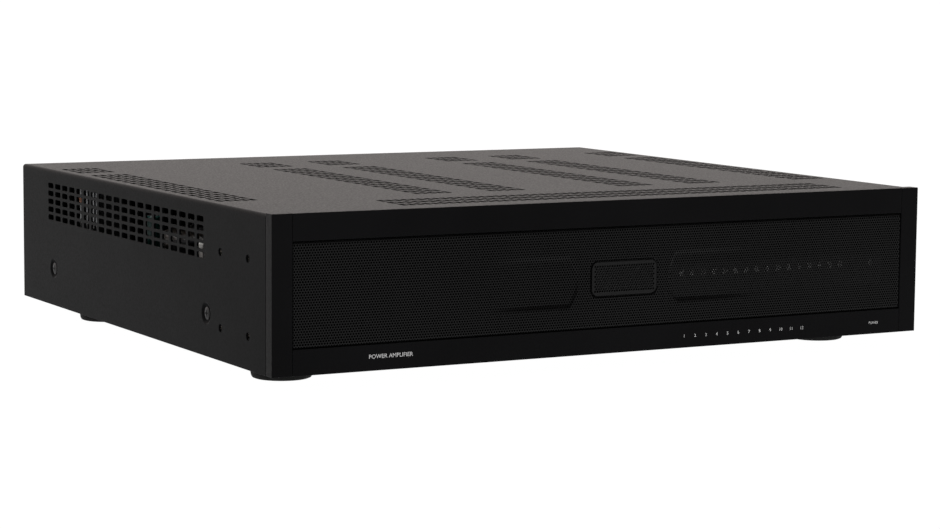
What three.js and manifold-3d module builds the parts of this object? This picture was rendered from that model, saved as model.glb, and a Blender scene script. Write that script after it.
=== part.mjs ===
// A twelve-channel audio power amplifier for a 19 inch rack, two rack units high.
//
// Millimetres. X runs to the right as seen from the front, Y from front to back, Z is up.
// The origin is on the surface that the feet stand on, under the middle of the whole object.
// The pieces are laid out in the chassis frame: x = 0 in the middle, y = 0 on the front face
// and z = 0 on the underside of the case. One group moves that frame to the origin.

import * as THREE from 'three';
import { mergeVertices } from 'three/addons/utils/BufferGeometryUtils.js';
import Module from 'manifold-3d';

// --- Driving dimensions -------------------------------------------------------------------

const bodyWidth = 432;
const bodyDepth = 396;
const panelHeight = 88.1;
const footHeight = 9.5;
const rearReach = 12;
const sheet = 1.2;
const gap = 0.3;

// Front: two rails and a back plate in one frame, two end caps, and the grille between them.
const frontDepth = 8;
const frontRebate = 6.5;
const endCapWidth = 12;
const openingBottom = 14.5;
const openingTop = 73;
const grilleSet = 0.3;
const grilleDepth = 4;
const grilleEdge = 1.2;
const pressDepth = 1;
const pressHeights = [28.5, 56];
const pressBands = [[-80, -26], [38, 95]];
const badge = { x: 5.75, z: 43.15, width: 43.5, height: 19.3, corner: 4, room: 0.8 };
const airWindow = { columns: 10, pitch: 39, width: 34, heights: [[17.5, 36.5], [50.5, 70]] };
const filter = { half: 200, z: [15.5, 72], thickness: 2, notchX: [88.5, 106.5], notchZ: [29.5, 36.5] };
const lamp = { first: 47.25, pitch: 7.62, count: 16, power: 184, z: 43.3, size: 2.4 };

// Cover: slots 9.6 long and 3.4 wide on one pitch, in the top and in both sides.
const coverTop = 87.6;
const bendRadius = 2;
const slot = { long: 9.6, wide: 3.4, pitchLong: 12.9, pitchWide: 5.05 };
const sideVent = { columns: 20, firstY: 97.2, firstZ: 56.8, lastZ: 77.3 };
const topStrips = [-197, -72, -22, 68, 118, 197];
const topRuns = [{ firstY: 90.5, rows: 16 }, { firstY: 312, rows: 3 }];
const slotsInGroup = 5;
const frontStrip = { x: 25.75, groups: 12, firstY: 28, rows: 3 };

// Cover screws in dimples, and the tapped plates behind the eight holes for rack ears.
const screwPlaces = [{ end: 'front', y: 89, z: 24.5 }, { end: 'rear', y: 338, z: 24 }];
const dimple = { mouth: 6.2, floor: 4.4, depth: 1.4, wall: 1.3, boss: 7, hole: 2.3 };
const screw = { head: 3.8, headHeight: 0.9, shank: 1.9, length: 9 };
const rackHoles = { y: [31.5, 69], z: [18.5, 61.2], cover: 2.3, tapped: 2.1 };
const nutPlate = { y: [20, 80], z: [8, 72], thickness: 2 };

// Base pan, feet and boards.
const panHalf = 213;
const flangeHeight = 32;
const foot = { x: 183.5, y: [58, 328], top: 17.6, bottom: 15, hole: 5, holeDepth: 2.5 };
const boardBottom = 8;
const boardThickness = 1.6;
const boardY = [92, 352];
const standoffRadius = 3;
const standoffInset = 6;

// Inside: two amplifier boards with two heatsinks each, and the power supply on the left.
const amplifierBoards = { left: [-96, 2], right: [44, 142] };
const heatsink = { x: [-72, -22, 68, 118], y: [100, 340], base: 4, fin: 2, pitch: 6, top: 80 };
const relay = { size: 16, height: 20, y: [120, 200, 280] };
const supplyBoard = [-208, -108];
const supplySink = { x: [-207, -190], y: 298, fins: 6, pitch: 5.6, fin: 2, base: 4, top: 79 };
const toroid = { x: -150, y: 215, outer: 42, inner: 14, bottom: 10.2, top: 58, round: 8 };
const bulkCapacitors = [
  { x: -198, y: 166, radius: 7.5, top: 57.5 },
  { x: -200, y: 207, radius: 4.5, top: 69 },
];

// Rear panel, with the mains side on the left as seen from the front.
const rearSheet = 1.5;
const inlet = { x: -180, width: 27.4, z: [23.3, 60.7], flangeWidth: 32, flangeZ: [20, 64], depth: 24 };
const inletCavity = { half: 12, z: [40, 57], chamfer: 4, depth: 16 };
const fuse = { half: 9.7, z: [26.3, 35.7], depth: 15, room: 0.5 };
const rocker = { x: -140, z: 44, half: 5.2, tilt: 8, pivotBack: 4, height: 14 };
const fan = { x: -75, z: 44, size: 60, depth: 15.9, duct: 28, hub: 13, blade: 26.3, blades: 7 };
const serviceX = -25;
const modeSwitch = { z: 64, half: 4.2, height: 4.4, nub: 3.4, travel: 4 };
const triggerJack = { z: 44, barrel: 3.9, bore: 1.8 };
const groundPost = { z: 22, stud: 2, nut: 5 };
const zone = { first: 12, pitch: 36, count: 6 };
const jack = { side: -8, z: [50, 68], barrel: 4.2, bore: 1.7, reach: 9, blockZ: [42, 76] };
const knob = { side: 9, z: 59, radius: 6.2, shaft: 2.9, height: 12 };
const plug = { z: 22, width: 20.2, inner: 8.4, outer: 12.4, seat: 8, reach: 10.6, ways: 4 };

// --- Derived places -----------------------------------------------------------------------

const coverHalf = bodyWidth / 2;
const coverInner = coverHalf - sheet;
const frontHalf = coverHalf - endCapWidth;
const bodyStart = frontDepth + gap;
const rearFace = bodyDepth;
const rearInside = bodyDepth - rearSheet;
const behindRear = rearInside - gap;
const outsideRear = rearFace + gap;
const overallDepth = bodyDepth + rearReach;
const boardTop = boardBottom + boardThickness;
const onBoard = boardTop + gap;
const groupWidth = (slotsInGroup - 1) * slot.pitchWide + slot.wide;
const groupPitch = slotsInGroup * slot.pitchWide;
const headerY = [behindRear - 14, behindRear];
const rockerPivotY = rearFace - rocker.pivotBack;
const fanY = [behindRear - fan.depth, behindRear];
const zoneCentres = steps(zone.first, zone.pitch, zone.count);

// --- Shape tools --------------------------------------------------------------------------

const manifold = await Module();
manifold.setup();

function steps(first, pitch, count) {
  return Array.from({ length: count }, (_, index) => first + index * pitch);
}

function around(centre, size) {
  return [centre - size / 2, centre + size / 2];
}

function box([x0, x1], [y0, y1], [z0, z1]) {
  const geometry = new THREE.BoxGeometry(x1 - x0, y1 - y0, z1 - z0);
  return geometry.translate((x0 + x1) / 2, (y0 + y1) / 2, (z0 + z1) / 2);
}

function rodAlongY(radius, x, [y0, y1], z, sides = 16) {
  const geometry = new THREE.CylinderGeometry(radius, radius, y1 - y0, sides);
  return geometry.translate(x, (y0 + y1) / 2, z);
}

function rodAlongZ(radius, x, y, [z0, z1], sides = 16) {
  const geometry = new THREE.CylinderGeometry(radius, radius, z1 - z0, sides).rotateX(Math.PI / 2);
  return geometry.translate(x, y, (z0 + z1) / 2);
}

// A cone or rod that points out through one side of the case: side is -1 on the left, 1 on the
// right, and both distances are from the middle of the case.
function sideCone(side, [innerX, outerX], [innerRadius, outerRadius], y, z, sides = 16) {
  const length = outerX - innerX;
  const geometry = new THREE.CylinderGeometry(outerRadius, innerRadius, length, sides);
  geometry.rotateZ(-side * Math.PI / 2);
  return geometry.translate(side * (innerX + outerX) / 2, y, z);
}

function sideBox(side, [innerX, outerX], ySpan, zSpan) {
  const xSpan = side < 0 ? [-outerX, -innerX] : [innerX, outerX];
  return box(xSpan, ySpan, zSpan);
}

function outline(points) {
  return new THREE.Shape(points.map(([x, y]) => new THREE.Vector2(x, y)));
}

function roundedOutline([x0, x1], [y0, y1], radius) {
  const shape = new THREE.Shape();
  shape.absarc(x1 - radius, y1 - radius, radius, 0, Math.PI / 2);
  shape.absarc(x0 + radius, y1 - radius, radius, Math.PI / 2, Math.PI);
  shape.absarc(x0 + radius, y0 + radius, radius, Math.PI, 1.5 * Math.PI);
  shape.absarc(x1 - radius, y0 + radius, radius, 1.5 * Math.PI, 2 * Math.PI);
  shape.closePath();
  return shape;
}

function extrude(shape, depth, bevel = 0) {
  return new THREE.ExtrudeGeometry(shape, {
    depth,
    curveSegments: 3,
    bevelEnabled: bevel > 0,
    bevelThickness: bevel,
    bevelSize: bevel,
    bevelOffset: -bevel,
    bevelSegments: 2,
  });
}

// The outline's two coordinates are x and z.
function extrudeAlongY(shape, [y0, y1], bevel = 0) {
  return extrude(shape, y1 - y0, bevel).rotateX(Math.PI / 2).translate(0, y1, 0);
}

// The outline's two coordinates are y and z.
function extrudeAlongX(shape, [x0, x1]) {
  const turn = new THREE.Matrix4().makeBasis(
    new THREE.Vector3(0, 1, 0),
    new THREE.Vector3(0, 0, 1),
    new THREE.Vector3(1, 0, 0),
  );
  return extrude(shape, x1 - x0).applyMatrix4(turn).translate(x0, 0, 0);
}

function extrudeAlongZ(shape, [z0, z1]) {
  return extrude(shape, z1 - z0).translate(0, 0, z0);
}

// A solid of revolution about Z. The profile holds radius and height pairs, from the bottom up.
function turned(profile, segments) {
  const points = profile.map(([radius, height]) => new THREE.Vector2(radius, height));
  return new THREE.LatheGeometry(points, segments).rotateX(Math.PI / 2);
}

function tube(points, radius, stepCount, sides) {
  const path = new THREE.CatmullRomCurve3(points.map((point) => new THREE.Vector3(...point)));
  const angles = steps(0, 2 * Math.PI / sides, sides);
  const section = outline(angles.map((angle) => [radius * Math.cos(angle), radius * Math.sin(angle)]));
  return new THREE.ExtrudeGeometry(section, { steps: stepCount, extrudePath: path, bevelEnabled: false });
}

function toSolid(geometry) {
  const bare = geometry.clone();
  bare.deleteAttribute('normal');
  bare.deleteAttribute('uv');
  const merged = mergeVertices(bare, 1e-4);
  const corners = merged.index.array;
  const triangles = [];
  for (let start = 0; start < corners.length; start += 3) {
    const [a, b, c] = corners.slice(start, start + 3);
    if (a !== b && b !== c && c !== a) {
      triangles.push(a, b, c);
    }
  }
  return new manifold.Manifold(new manifold.Mesh({
    numProp: 3,
    vertProperties: new Float32Array(merged.attributes.position.array),
    triVerts: new Uint32Array(triangles),
  }));
}

function toGeometry(solid) {
  const mesh = solid.getMesh();
  const geometry = new THREE.BufferGeometry();
  geometry.setAttribute('position', new THREE.BufferAttribute(mesh.vertProperties, 3));
  geometry.setIndex(new THREE.BufferAttribute(mesh.triVerts, 1));
  geometry.computeVertexNormals();
  return geometry;
}

function unite(geometries) {
  return geometries.map(toSolid).reduce((whole, piece) => whole.add(piece));
}

function join(...geometries) {
  return toGeometry(unite(geometries));
}

function cut(geometry, tools) {
  return toGeometry(toSolid(geometry).subtract(unite(tools)));
}

// --- Front --------------------------------------------------------------------------------

function frontFrame() {
  const block = box([-frontHalf + gap, frontHalf - gap], [0, frontDepth], [0, panelHeight]);
  const rebate = box([-coverHalf, coverHalf], [-1, frontRebate], [openingBottom, openingTop]);
  const firstX = -airWindow.pitch * (airWindow.columns - 1) / 2;
  const windows = steps(firstX, airWindow.pitch, airWindow.columns).flatMap((x) =>
    airWindow.heights.map((zSpan) => box(around(x, airWindow.width), [5, 9], zSpan)));
  return cut(block, [rebate, ...windows]);
}

function endCap(side) {
  const inner = side * frontHalf;
  const outer = side * coverHalf;
  const xSpan = side < 0 ? [outer, inner] : [inner, outer];
  return extrudeAlongZ(roundedOutline(xSpan, [0, frontDepth], 1), [0, panelHeight]);
}

// A shallow tray with rolled edges. The perforation is far finer than the tray, so it is plain
// here. The two bands beside the badge and the badge's own pocket are pressed back by one sheet.
function frontGrille() {
  const half = frontHalf - gap;
  const xSpan = [-half, half];
  const zSpan = [openingBottom + gap, openingTop - gap];
  const back = grilleSet + grilleDepth;
  const pillow = extrudeAlongY(
    roundedOutline(xSpan, zSpan, 3),
    [grilleSet + grilleEdge, back + 3],
    grilleEdge,
  );
  const hollow = box(
    [-half + sheet, half - sheet],
    [grilleSet + 1, back + 9],
    [zSpan[0] + sheet, zSpan[1] - sheet],
  );
  const behind = box([-half - 9, half + 9], [back, back + 9], [0, panelHeight]);
  const tray = cut(pillow, [hollow, behind]);
  const pocket = [
    around(badge.x, badge.width + 2 * badge.room),
    around(badge.z, badge.height + 2 * badge.room),
  ];
  const pressings = [...pressBands.map((band) => [band, pressHeights]), pocket];
  const floors = pressings.map(([[x0, x1], [z0, z1]]) => box(
    [x0 - 1, x1 + 1],
    [grilleSet + 0.5, grilleSet + pressDepth + 1],
    [z0 - 1, z1 + 1],
  ));
  const presses = pressings.map(([across, up]) => box(across, [-1, grilleSet + pressDepth], up));
  return cut(join(tray, ...floors), presses);
}

function badgePlate() {
  const shape = roundedOutline(around(badge.x, badge.width), around(badge.z, badge.height), badge.corner);
  return extrudeAlongY(shape, [0.05, grilleSet + pressDepth - gap]);
}

// A sheet of foam behind the windows, with a notch for the lamp ribbon.
function airFilter() {
  const ySpan = [frontDepth + gap, frontDepth + gap + filter.thickness];
  const sheetOfFoam = box([-filter.half, filter.half], ySpan, filter.z);
  return cut(sheetOfFoam, [box(filter.notchX, [0, ySpan[1] + 1], filter.notchZ)]);
}

function lampBoard() {
  const board = box([lamp.first - 7, lamp.power + 8], [4.4, 6], [30, 49]);
  const places = [...steps(lamp.first, lamp.pitch, lamp.count), lamp.power];
  const lamps = places.map((x) => box(around(x, lamp.size), [3.4, 4.6], around(lamp.z, lamp.size)));
  return join(board, ...lamps);
}

// --- Cover --------------------------------------------------------------------------------

function coverSection() {
  const centre = coverHalf - bendRadius;
  const level = coverTop - bendRadius;
  const inside = bendRadius - sheet;
  const shape = new THREE.Shape();
  shape.absarc(-centre, level, bendRadius, Math.PI, Math.PI / 2, true);
  shape.absarc(centre, level, bendRadius, Math.PI / 2, 0, true);
  shape.lineTo(coverHalf, 0);
  shape.lineTo(coverInner, 0);
  shape.absarc(centre, level, inside, 0, Math.PI / 2);
  shape.absarc(-centre, level, inside, Math.PI / 2, Math.PI);
  shape.lineTo(-coverInner, 0);
  shape.lineTo(-coverHalf, 0);
  shape.closePath();
  return shape;
}

// Each run of slots that lie side by side in the top is one opening.
function topOpenings() {
  const zSpan = [coverTop - 5, coverTop + 1];
  const rowsOf = (run) => steps(run.firstY, slot.pitchLong, run.rows);
  const opening = (x, y) => box(around(x, groupWidth), around(y, slot.long), zSpan);
  const strips = topStrips.flatMap((x) => topRuns.flatMap((run) => rowsOf(run).map((y) => opening(x, y))));
  const firstX = frontStrip.x - groupPitch * (frontStrip.groups - 1) / 2;
  const across = steps(firstX, groupPitch, frontStrip.groups);
  const front = rowsOf(frontStrip).flatMap((y) => across.map((x) => opening(x, y)));
  return [...strips, ...front];
}

// Each column of slots in a side is one opening.
function sideOpenings(side) {
  const columns = steps(sideVent.firstY, slot.pitchLong, sideVent.columns);
  const half = slot.wide / 2;
  const zSpan = [sideVent.firstZ - half, sideVent.lastZ + half];
  const xSpan = [coverHalf - 5, coverHalf + 1];
  return columns.map((y) => sideBox(side, xSpan, around(y, slot.long), zSpan));
}

function rackHoleTools(side, xSpan, radius) {
  return rackHoles.y.flatMap((y) =>
    rackHoles.z.map((z) => sideCone(side, xSpan, [radius, radius], y, z, 12)));
}

function screwHoleTool(side, place) {
  return sideCone(side, [coverHalf - 8, coverHalf + 1], [dimple.hole, dimple.hole], place.y, place.z);
}

function dimpleTools(side, place) {
  const floorX = coverHalf - dimple.depth;
  const dish = sideCone(side, [floorX, coverHalf], [dimple.floor, dimple.mouth], place.y, place.z);
  return [dish, screwHoleTool(side, place)];
}

function dimpleBoss(side, place) {
  const xSpan = [coverHalf - dimple.depth - dimple.wall, coverHalf - 0.5];
  return sideCone(side, xSpan, [dimple.boss, dimple.boss], place.y, place.z);
}

function topCover() {
  const folded = extrudeAlongY(coverSection(), [bodyStart, bodyDepth - gap]);
  const sides = [-1, 1];
  const bosses = sides.flatMap((side) => screwPlaces.map((place) => dimpleBoss(side, place)));
  const tools = sides.flatMap((side) => [
    ...sideOpenings(side),
    ...rackHoleTools(side, [coverHalf - 5, coverHalf + 1], rackHoles.cover),
    ...screwPlaces.flatMap((place) => dimpleTools(side, place)),
  ]);
  return cut(join(folded, ...bosses), [...topOpenings(), ...tools]);
}

function coverScrew(side, place) {
  const seat = coverHalf - dimple.depth + gap;
  const head = sideCone(side, [seat, seat + screw.headHeight], [screw.head, screw.head], place.y, place.z);
  const shank = sideCone(side, [seat - screw.length, seat + 0.1], [screw.shank, screw.shank], place.y, place.z);
  return join(head, shank);
}

function rackNutPlate(side) {
  const outer = coverInner - gap;
  const plate = sideBox(side, [outer - nutPlate.thickness, outer], nutPlate.y, nutPlate.z);
  return cut(plate, rackHoleTools(side, [outer - 5, outer + 1], rackHoles.tapped));
}

// --- Base ---------------------------------------------------------------------------------

function standoffs([x0, x1]) {
  const places = [x0 + standoffInset, x1 - standoffInset].flatMap((x) =>
    [boardY[0] + standoffInset, boardY[1] - standoffInset].map((y) => [x, y]));
  return places.map(([x, y]) => rodAlongZ(standoffRadius, x, y, [sheet - 0.2, boardBottom - gap], 8));
}

function basePan() {
  const inner = panHalf - sheet;
  const section = outline([
    [-panHalf, 0], [panHalf, 0], [panHalf, flangeHeight], [inner, flangeHeight],
    [inner, sheet], [-inner, sheet], [-inner, flangeHeight], [-panHalf, flangeHeight],
  ]);
  const folded = extrudeAlongY(section, [bodyStart, rearInside - gap]);
  const posts = [...Object.values(amplifierBoards), supplyBoard].flatMap(standoffs);
  const tools = [-1, 1].flatMap((side) => [
    sideBox(side, [inner - 1, panHalf + 1], [0, nutPlate.y[1] + 4], [sheet, flangeHeight + 1]),
    ...screwPlaces.map((place) => screwHoleTool(side, place)),
  ]);
  return cut(join(folded, ...posts), tools);
}

function footShape() {
  const top = footHeight - gap;
  return turned([
    [0, foot.holeDepth],
    [foot.hole, foot.holeDepth],
    [foot.hole, 0],
    [foot.bottom - 0.6, 0],
    [foot.bottom, 0.6],
    [foot.top, top - 0.8],
    [foot.top, top],
    [0, top],
  ], 18);
}

// --- Inside -------------------------------------------------------------------------------

function boardPlate(xSpan) {
  return box(xSpan, boardY, [boardBottom, boardTop]);
}

function amplifierBoard(xSpan) {
  const middle = (xSpan[0] + xSpan[1]) / 2;
  const relays = relay.y.map((y) => box(
    around(middle, relay.size),
    around(y, relay.size),
    [boardTop - 0.2, boardTop + relay.height],
  ));
  return join(boardPlate(xSpan), ...relays);
}

// The outline of a finned section: a flat base with fins standing on it.
function combOutline(start, finCount, pitch, fin, base, tip) {
  const end = start + (finCount - 1) * pitch + fin;
  const points = [[start, base[0]]];
  for (const left of steps(start, pitch, finCount)) {
    points.push([left, base[1]], [left, tip], [left + fin, tip], [left + fin, base[1]]);
  }
  points.push([end, base[0]]);
  const isNew = ([x, y], index) => index === 0 || x !== points[index - 1][0] || y !== points[index - 1][1];
  return outline(points.filter(isNew));
}

function heatsinkShape() {
  const finCount = 5;
  const width = (finCount - 1) * heatsink.pitch + heatsink.fin;
  const base = [onBoard, onBoard + heatsink.base];
  const section = combOutline(-width / 2, finCount, heatsink.pitch, heatsink.fin, base, heatsink.top);
  return extrudeAlongY(section, heatsink.y);
}

function supplyHeatsink() {
  const width = (supplySink.fins - 1) * supplySink.pitch + supplySink.fin;
  const [tip, back] = supplySink.x;
  const base = [-back, -back + supplySink.base];
  const start = supplySink.y - width / 2;
  const section = combOutline(start, supplySink.fins, supplySink.pitch, supplySink.fin, base, -tip);
  return extrudeAlongZ(section, [onBoard, supplySink.top]).rotateZ(Math.PI / 2);
}

// A toroid: a ring whose section is a rectangle with its outer corners cut off.
function transformer() {
  const { outer, inner, bottom, top, round } = toroid;
  const ring = turned([
    [inner, bottom], [outer - round, bottom], [outer, bottom + round],
    [outer, top - round], [outer - round, top], [inner, top], [inner, bottom],
  ], 24);
  return ring.translate(toroid.x, toroid.y, 0);
}

function transformerClamp() {
  const seat = toroid.top + gap;
  const dish = rodAlongZ(20, toroid.x, toroid.y, [seat, seat + 2], 24);
  const bolt = rodAlongZ(3, toroid.x, toroid.y, [onBoard, seat + 6], 8);
  return join(dish, bolt);
}

function bulkCapacitor({ x, y, radius, top }) {
  return rodAlongZ(radius, x, y, [onBoard, top], 20);
}

function mainsLead() {
  const rear = behindRear - inlet.depth;
  return tube([
    [inlet.x, rear, 50],
    [inlet.x, rear - 8, 49],
    [inlet.x + 8, rear - 18, 38],
    [inlet.x + 14, rear - 25, 24],
    [inlet.x + 15, rear - 26, onBoard + 6],
    [inlet.x + 15, rear - 26, onBoard + gap],
  ], 2.5, 12, 8);
}

// A flat ribbon of even thickness, laid along a route of y and z points.
function ribbonOutline(route, thickness) {
  const offsets = route.map(([y, z], index) => {
    const before = route[Math.max(index - 1, 0)];
    const after = route[Math.min(index + 1, route.length - 1)];
    const length = Math.hypot(after[0] - before[0], after[1] - before[1]);
    const half = thickness / 2 / length;
    return [-(after[1] - before[1]) * half, (after[0] - before[0]) * half];
  });
  const upper = route.map(([y, z], index) => [y + offsets[index][0], z + offsets[index][1]]);
  const lower = route.map(([y, z], index) => [y - offsets[index][0], z - offsets[index][1]]);
  return outline([...upper, ...lower.reverse()]);
}

function lampRibbon() {
  const route = [[6.3, 33], [15, 33], [20, 31], [22, 27], [22, 18], [24, 14], [29, 12], [97, 12]];
  return extrudeAlongX(ribbonOutline(route, 1), around(97.5, 16));
}

// --- Fan ----------------------------------------------------------------------------------

function fanFrame() {
  const shell = box(around(fan.x, fan.size), fanY, around(fan.z, fan.size));
  const duct = rodAlongY(fan.duct, fan.x, [fanY[0] - 1, fanY[1] + 1], fan.z, 28);
  const mountY = [fanY[0], fanY[0] + 2];
  const strutLength = 2 * fan.duct + 4;
  const struts = [Math.PI / 4, -Math.PI / 4].map((angle) => {
    const bar = box([-strutLength / 2, strutLength / 2], mountY, [-1.5, 1.5]);
    return bar.rotateY(angle).translate(fan.x, 0, fan.z);
  });
  return join(cut(shell, [duct]), ...struts, rodAlongY(fan.hub, fan.x, mountY, fan.z, 20));
}

// Drawn around its own axis, with y = 0 at the middle of the blades.
function fanRotor() {
  const blades = steps(0, 2 * Math.PI / fan.blades, fan.blades).map((angle) => {
    const blade = box([fan.hub - 1.5, fan.blade], [-4.5, 4.5], [-0.7, 0.7]);
    return blade.rotateX(Math.PI / 4).rotateY(angle);
  });
  return join(rodAlongY(fan.hub, 0, [-4.6, 4.6], 0, 20), ...blades);
}

// --- Rear ---------------------------------------------------------------------------------

function fanSlots() {
  const rows = steps(-21, 7, 7);
  const bridge = 3;
  return rows.flatMap((offset) => {
    const reach = Math.sqrt((fan.duct - 1) ** 2 - offset ** 2);
    const zSpan = around(fan.z + offset, 4);
    return [[-reach, -bridge], [bridge, reach]].map(([x0, x1]) =>
      box([fan.x + x0, fan.x + x1], [rearFace - 5, rearFace + 1], zSpan));
  });
}

function rearPanel() {
  const through = [rearFace - 5, rearFace + 1];
  const panel = box([-coverInner + gap, coverInner - gap], [rearInside, rearFace], [0, coverTop - sheet - gap]);
  const window = (x, width, zSpan) => box(around(x, width), through, zSpan);
  const hole = (radius, x, z) => rodAlongY(radius, x, through, z, 12);
  const zoneTools = zoneCentres.flatMap((x) => [
    ...jack.z.map((z) => hole(jack.barrel + 0.5, x + jack.side, z)),
    hole(knob.shaft + 0.6, x + knob.side, knob.z),
    window(x, plug.width + 1.2, around(plug.z, plug.inner + 1.2)),
  ]);
  return cut(panel, [
    window(inlet.x, inlet.width + 0.6, [inlet.z[0] - gap, inlet.z[1] + gap]),
    window(rocker.x, 13.2, around(rocker.z, 19.5)),
    window(serviceX, 2 * modeSwitch.half + 0.6, around(modeSwitch.z, modeSwitch.height + 0.6)),
    hole(triggerJack.barrel + 0.4, serviceX, triggerJack.z),
    hole(groundPost.stud + 0.4, serviceX, groundPost.z),
    ...fanSlots(),
    ...zoneTools,
  ]);
}

function inletCavityOutline() {
  const { half, z, chamfer } = inletCavity;
  return outline([
    [inlet.x - half, z[0]], [inlet.x + half, z[0]], [inlet.x + half, z[1] - chamfer],
    [inlet.x + half - chamfer, z[1]], [inlet.x - half + chamfer, z[1]], [inlet.x - half, z[1] - chamfer],
  ]);
}

function powerInlet() {
  const mouth = outsideRear + 3;
  const flange = box(around(inlet.x, inlet.flangeWidth), [outsideRear, mouth], inlet.flangeZ);
  const body = box(around(inlet.x, inlet.width), [behindRear - inlet.depth + 1, outsideRear + 0.1], inlet.z);
  const cavity = extrudeAlongY(inletCavityOutline(), [mouth - inletCavity.depth, mouth + 1]);
  const fuseZ = [fuse.z[0] - fuse.room, fuse.z[1] + fuse.room];
  const fusePocket = box(around(inlet.x, 2 * (fuse.half + fuse.room)), [mouth - fuse.depth - 1, mouth + 1], fuseZ);
  const pinY = [mouth - inletCavity.depth - 0.5, mouth - 3];
  const pins = [[-7, 47.4], [7, 47.4], [0, 52]].map(([x, z]) =>
    box(around(inlet.x + x, 2), pinY, around(z, 4)));
  return join(cut(join(flange, body), [cavity, fusePocket]), ...pins);
}

function fuseDrawer() {
  const mouth = outsideRear + 3;
  const tray = box(around(inlet.x, 2 * fuse.half), [mouth - fuse.depth, mouth + gap + 0.1], fuse.z);
  const lipZ = [fuse.z[0] - 1, fuse.z[1] + 1];
  const lip = box(around(inlet.x, 2 * fuse.half + 3), [mouth + gap, mouth + 2.3], lipZ);
  return join(tray, lip);
}

function rockerHousing() {
  const mouth = outsideRear + 1.7;
  const flange = box(around(rocker.x, 15.4), [outsideRear, mouth], around(rocker.z, 21.4));
  const body = box(around(rocker.x, 12.6), [rearFace - 20, outsideRear + 0.1], around(rocker.z, 18.9));
  const well = box(around(rocker.x, 2 * rocker.half + 0.8), [rearFace - 12, mouth + 1], around(rocker.z, 17.2));
  return cut(join(flange, body), [well]);
}

// Drawn around its pivot: the outer face is a shallow V.
function powerRocker() {
  const half = rocker.height / 2;
  const section = outline([[-2, -half], [7.5, -half], [5.6, 0], [7.5, half], [-2, half]]);
  return extrudeAlongX(section, [-rocker.half, rocker.half]);
}

function modeSwitchHousing() {
  const block = box(around(serviceX, 14), [behindRear - 9, behindRear], around(modeSwitch.z, 8));
  const wellY = [behindRear - 7, behindRear + 1];
  const well = box(around(serviceX, 2 * modeSwitch.half), wellY, around(modeSwitch.z, modeSwitch.height));
  return cut(block, [well]);
}

function modeSlider() {
  const x0 = serviceX - modeSwitch.half + gap;
  return box([x0, x0 + modeSwitch.nub], [behindRear - 6.5, rearFace + 2], around(modeSwitch.z, 3.8));
}

function triggerJackShape() {
  const block = box(around(serviceX, 9), [behindRear - 12, behindRear], around(triggerJack.z, 9));
  const barrel = rodAlongY(triggerJack.barrel, serviceX, [behindRear - 1, rearFace + 1.5], triggerJack.z);
  const bore = rodAlongY(triggerJack.bore, serviceX, [behindRear - 9, rearFace + 3], triggerJack.z, 12);
  return cut(join(block, barrel), [bore]);
}

function groundPostShape() {
  const stud = rodAlongY(groundPost.stud, serviceX, [behindRear - 8, rearFace + 11], groundPost.z, 12);
  const nut = rodAlongY(groundPost.nut, serviceX, [outsideRear, rearFace + 8], groundPost.z, 18);
  return join(stud, nut);
}

// One moulded block holds all the jacks, with clear holes for the shafts of the knobs.
function inputJackBlock() {
  const xSpan = [zoneCentres[0] - 15, zoneCentres[zone.count - 1] + 15];
  const block = box(xSpan, headerY, jack.blockZ);
  const places = zoneCentres.flatMap((x) => jack.z.map((z) => [x + jack.side, z]));
  const tip = rearFace + jack.reach;
  const barrels = places.map(([x, z]) => rodAlongY(jack.barrel, x, [behindRear - 1, tip], z, 12));
  const bores = places.map(([x, z]) => rodAlongY(jack.bore, x, [tip - 12, tip + 1], z, 6));
  const clearances = zoneCentres.map((x) =>
    rodAlongY(knob.shaft + 0.8, x + knob.side, [headerY[0] - 1, headerY[1] + 1], knob.z, 12));
  return cut(join(block, ...barrels), [...bores, ...clearances]);
}

function inputBoard() {
  const y1 = headerY[0] - gap;
  const xSpan = [zoneCentres[0] - 16, zoneCentres[zone.count - 1] + 16];
  const plate = box(xSpan, [y1 - boardThickness, y1], [36, 80]);
  const pots = zoneCentres.map((x) =>
    box(around(x + knob.side, 12), [y1 - 11, y1 - 1], around(knob.z, 12)));
  return join(plate, ...pots);
}

// Drawn around its own axis, with y = 0 on the rear face of the case.
function levelKnob() {
  const cap = rodAlongY(knob.radius, 0, [0.6, knob.height], 0, 24);
  const shaft = rodAlongY(knob.shaft, 0, [headerY[0] - rearFace, 0.7], 0, 12);
  const groove = box([-0.6, 0.6], [knob.height - 0.8, knob.height + 1], [0, knob.radius + 1]);
  return cut(join(cap, shaft), [groove]);
}

function speakerHeader() {
  const xSpan = [zoneCentres[0] - 13, zoneCentres[zone.count - 1] + 13];
  const block = box(xSpan, headerY, around(plug.z, 16));
  const wells = zoneCentres.map((x) => box(
    around(x, plug.width + 0.8),
    [behindRear - plug.seat - 0.4, behindRear + 1],
    around(plug.z, plug.inner + 0.8),
  ));
  return cut(block, wells);
}

// Drawn around the middle of its socket, with y = 0 on the rear face of the case.
function speakerPlug() {
  const seatY = behindRear - rearFace - plug.seat;
  const inner = box(around(0, plug.width), [seatY, 0.7], around(0, plug.inner));
  const outer = box(around(0, plug.width), [0.6, plug.reach], around(0, plug.outer));
  const pitch = 5.08;
  const entries = steps(-1.5 * pitch, pitch, plug.ways).map((x) =>
    box(around(x, 3), [plug.reach - 6, plug.reach + 1], around(-1.5, 3)));
  return cut(join(inner, outer), entries);
}

// --- Finishes -----------------------------------------------------------------------------

function finish(color, roughness, metalness) {
  return new THREE.MeshStandardMaterial({ color, roughness, metalness });
}

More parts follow.
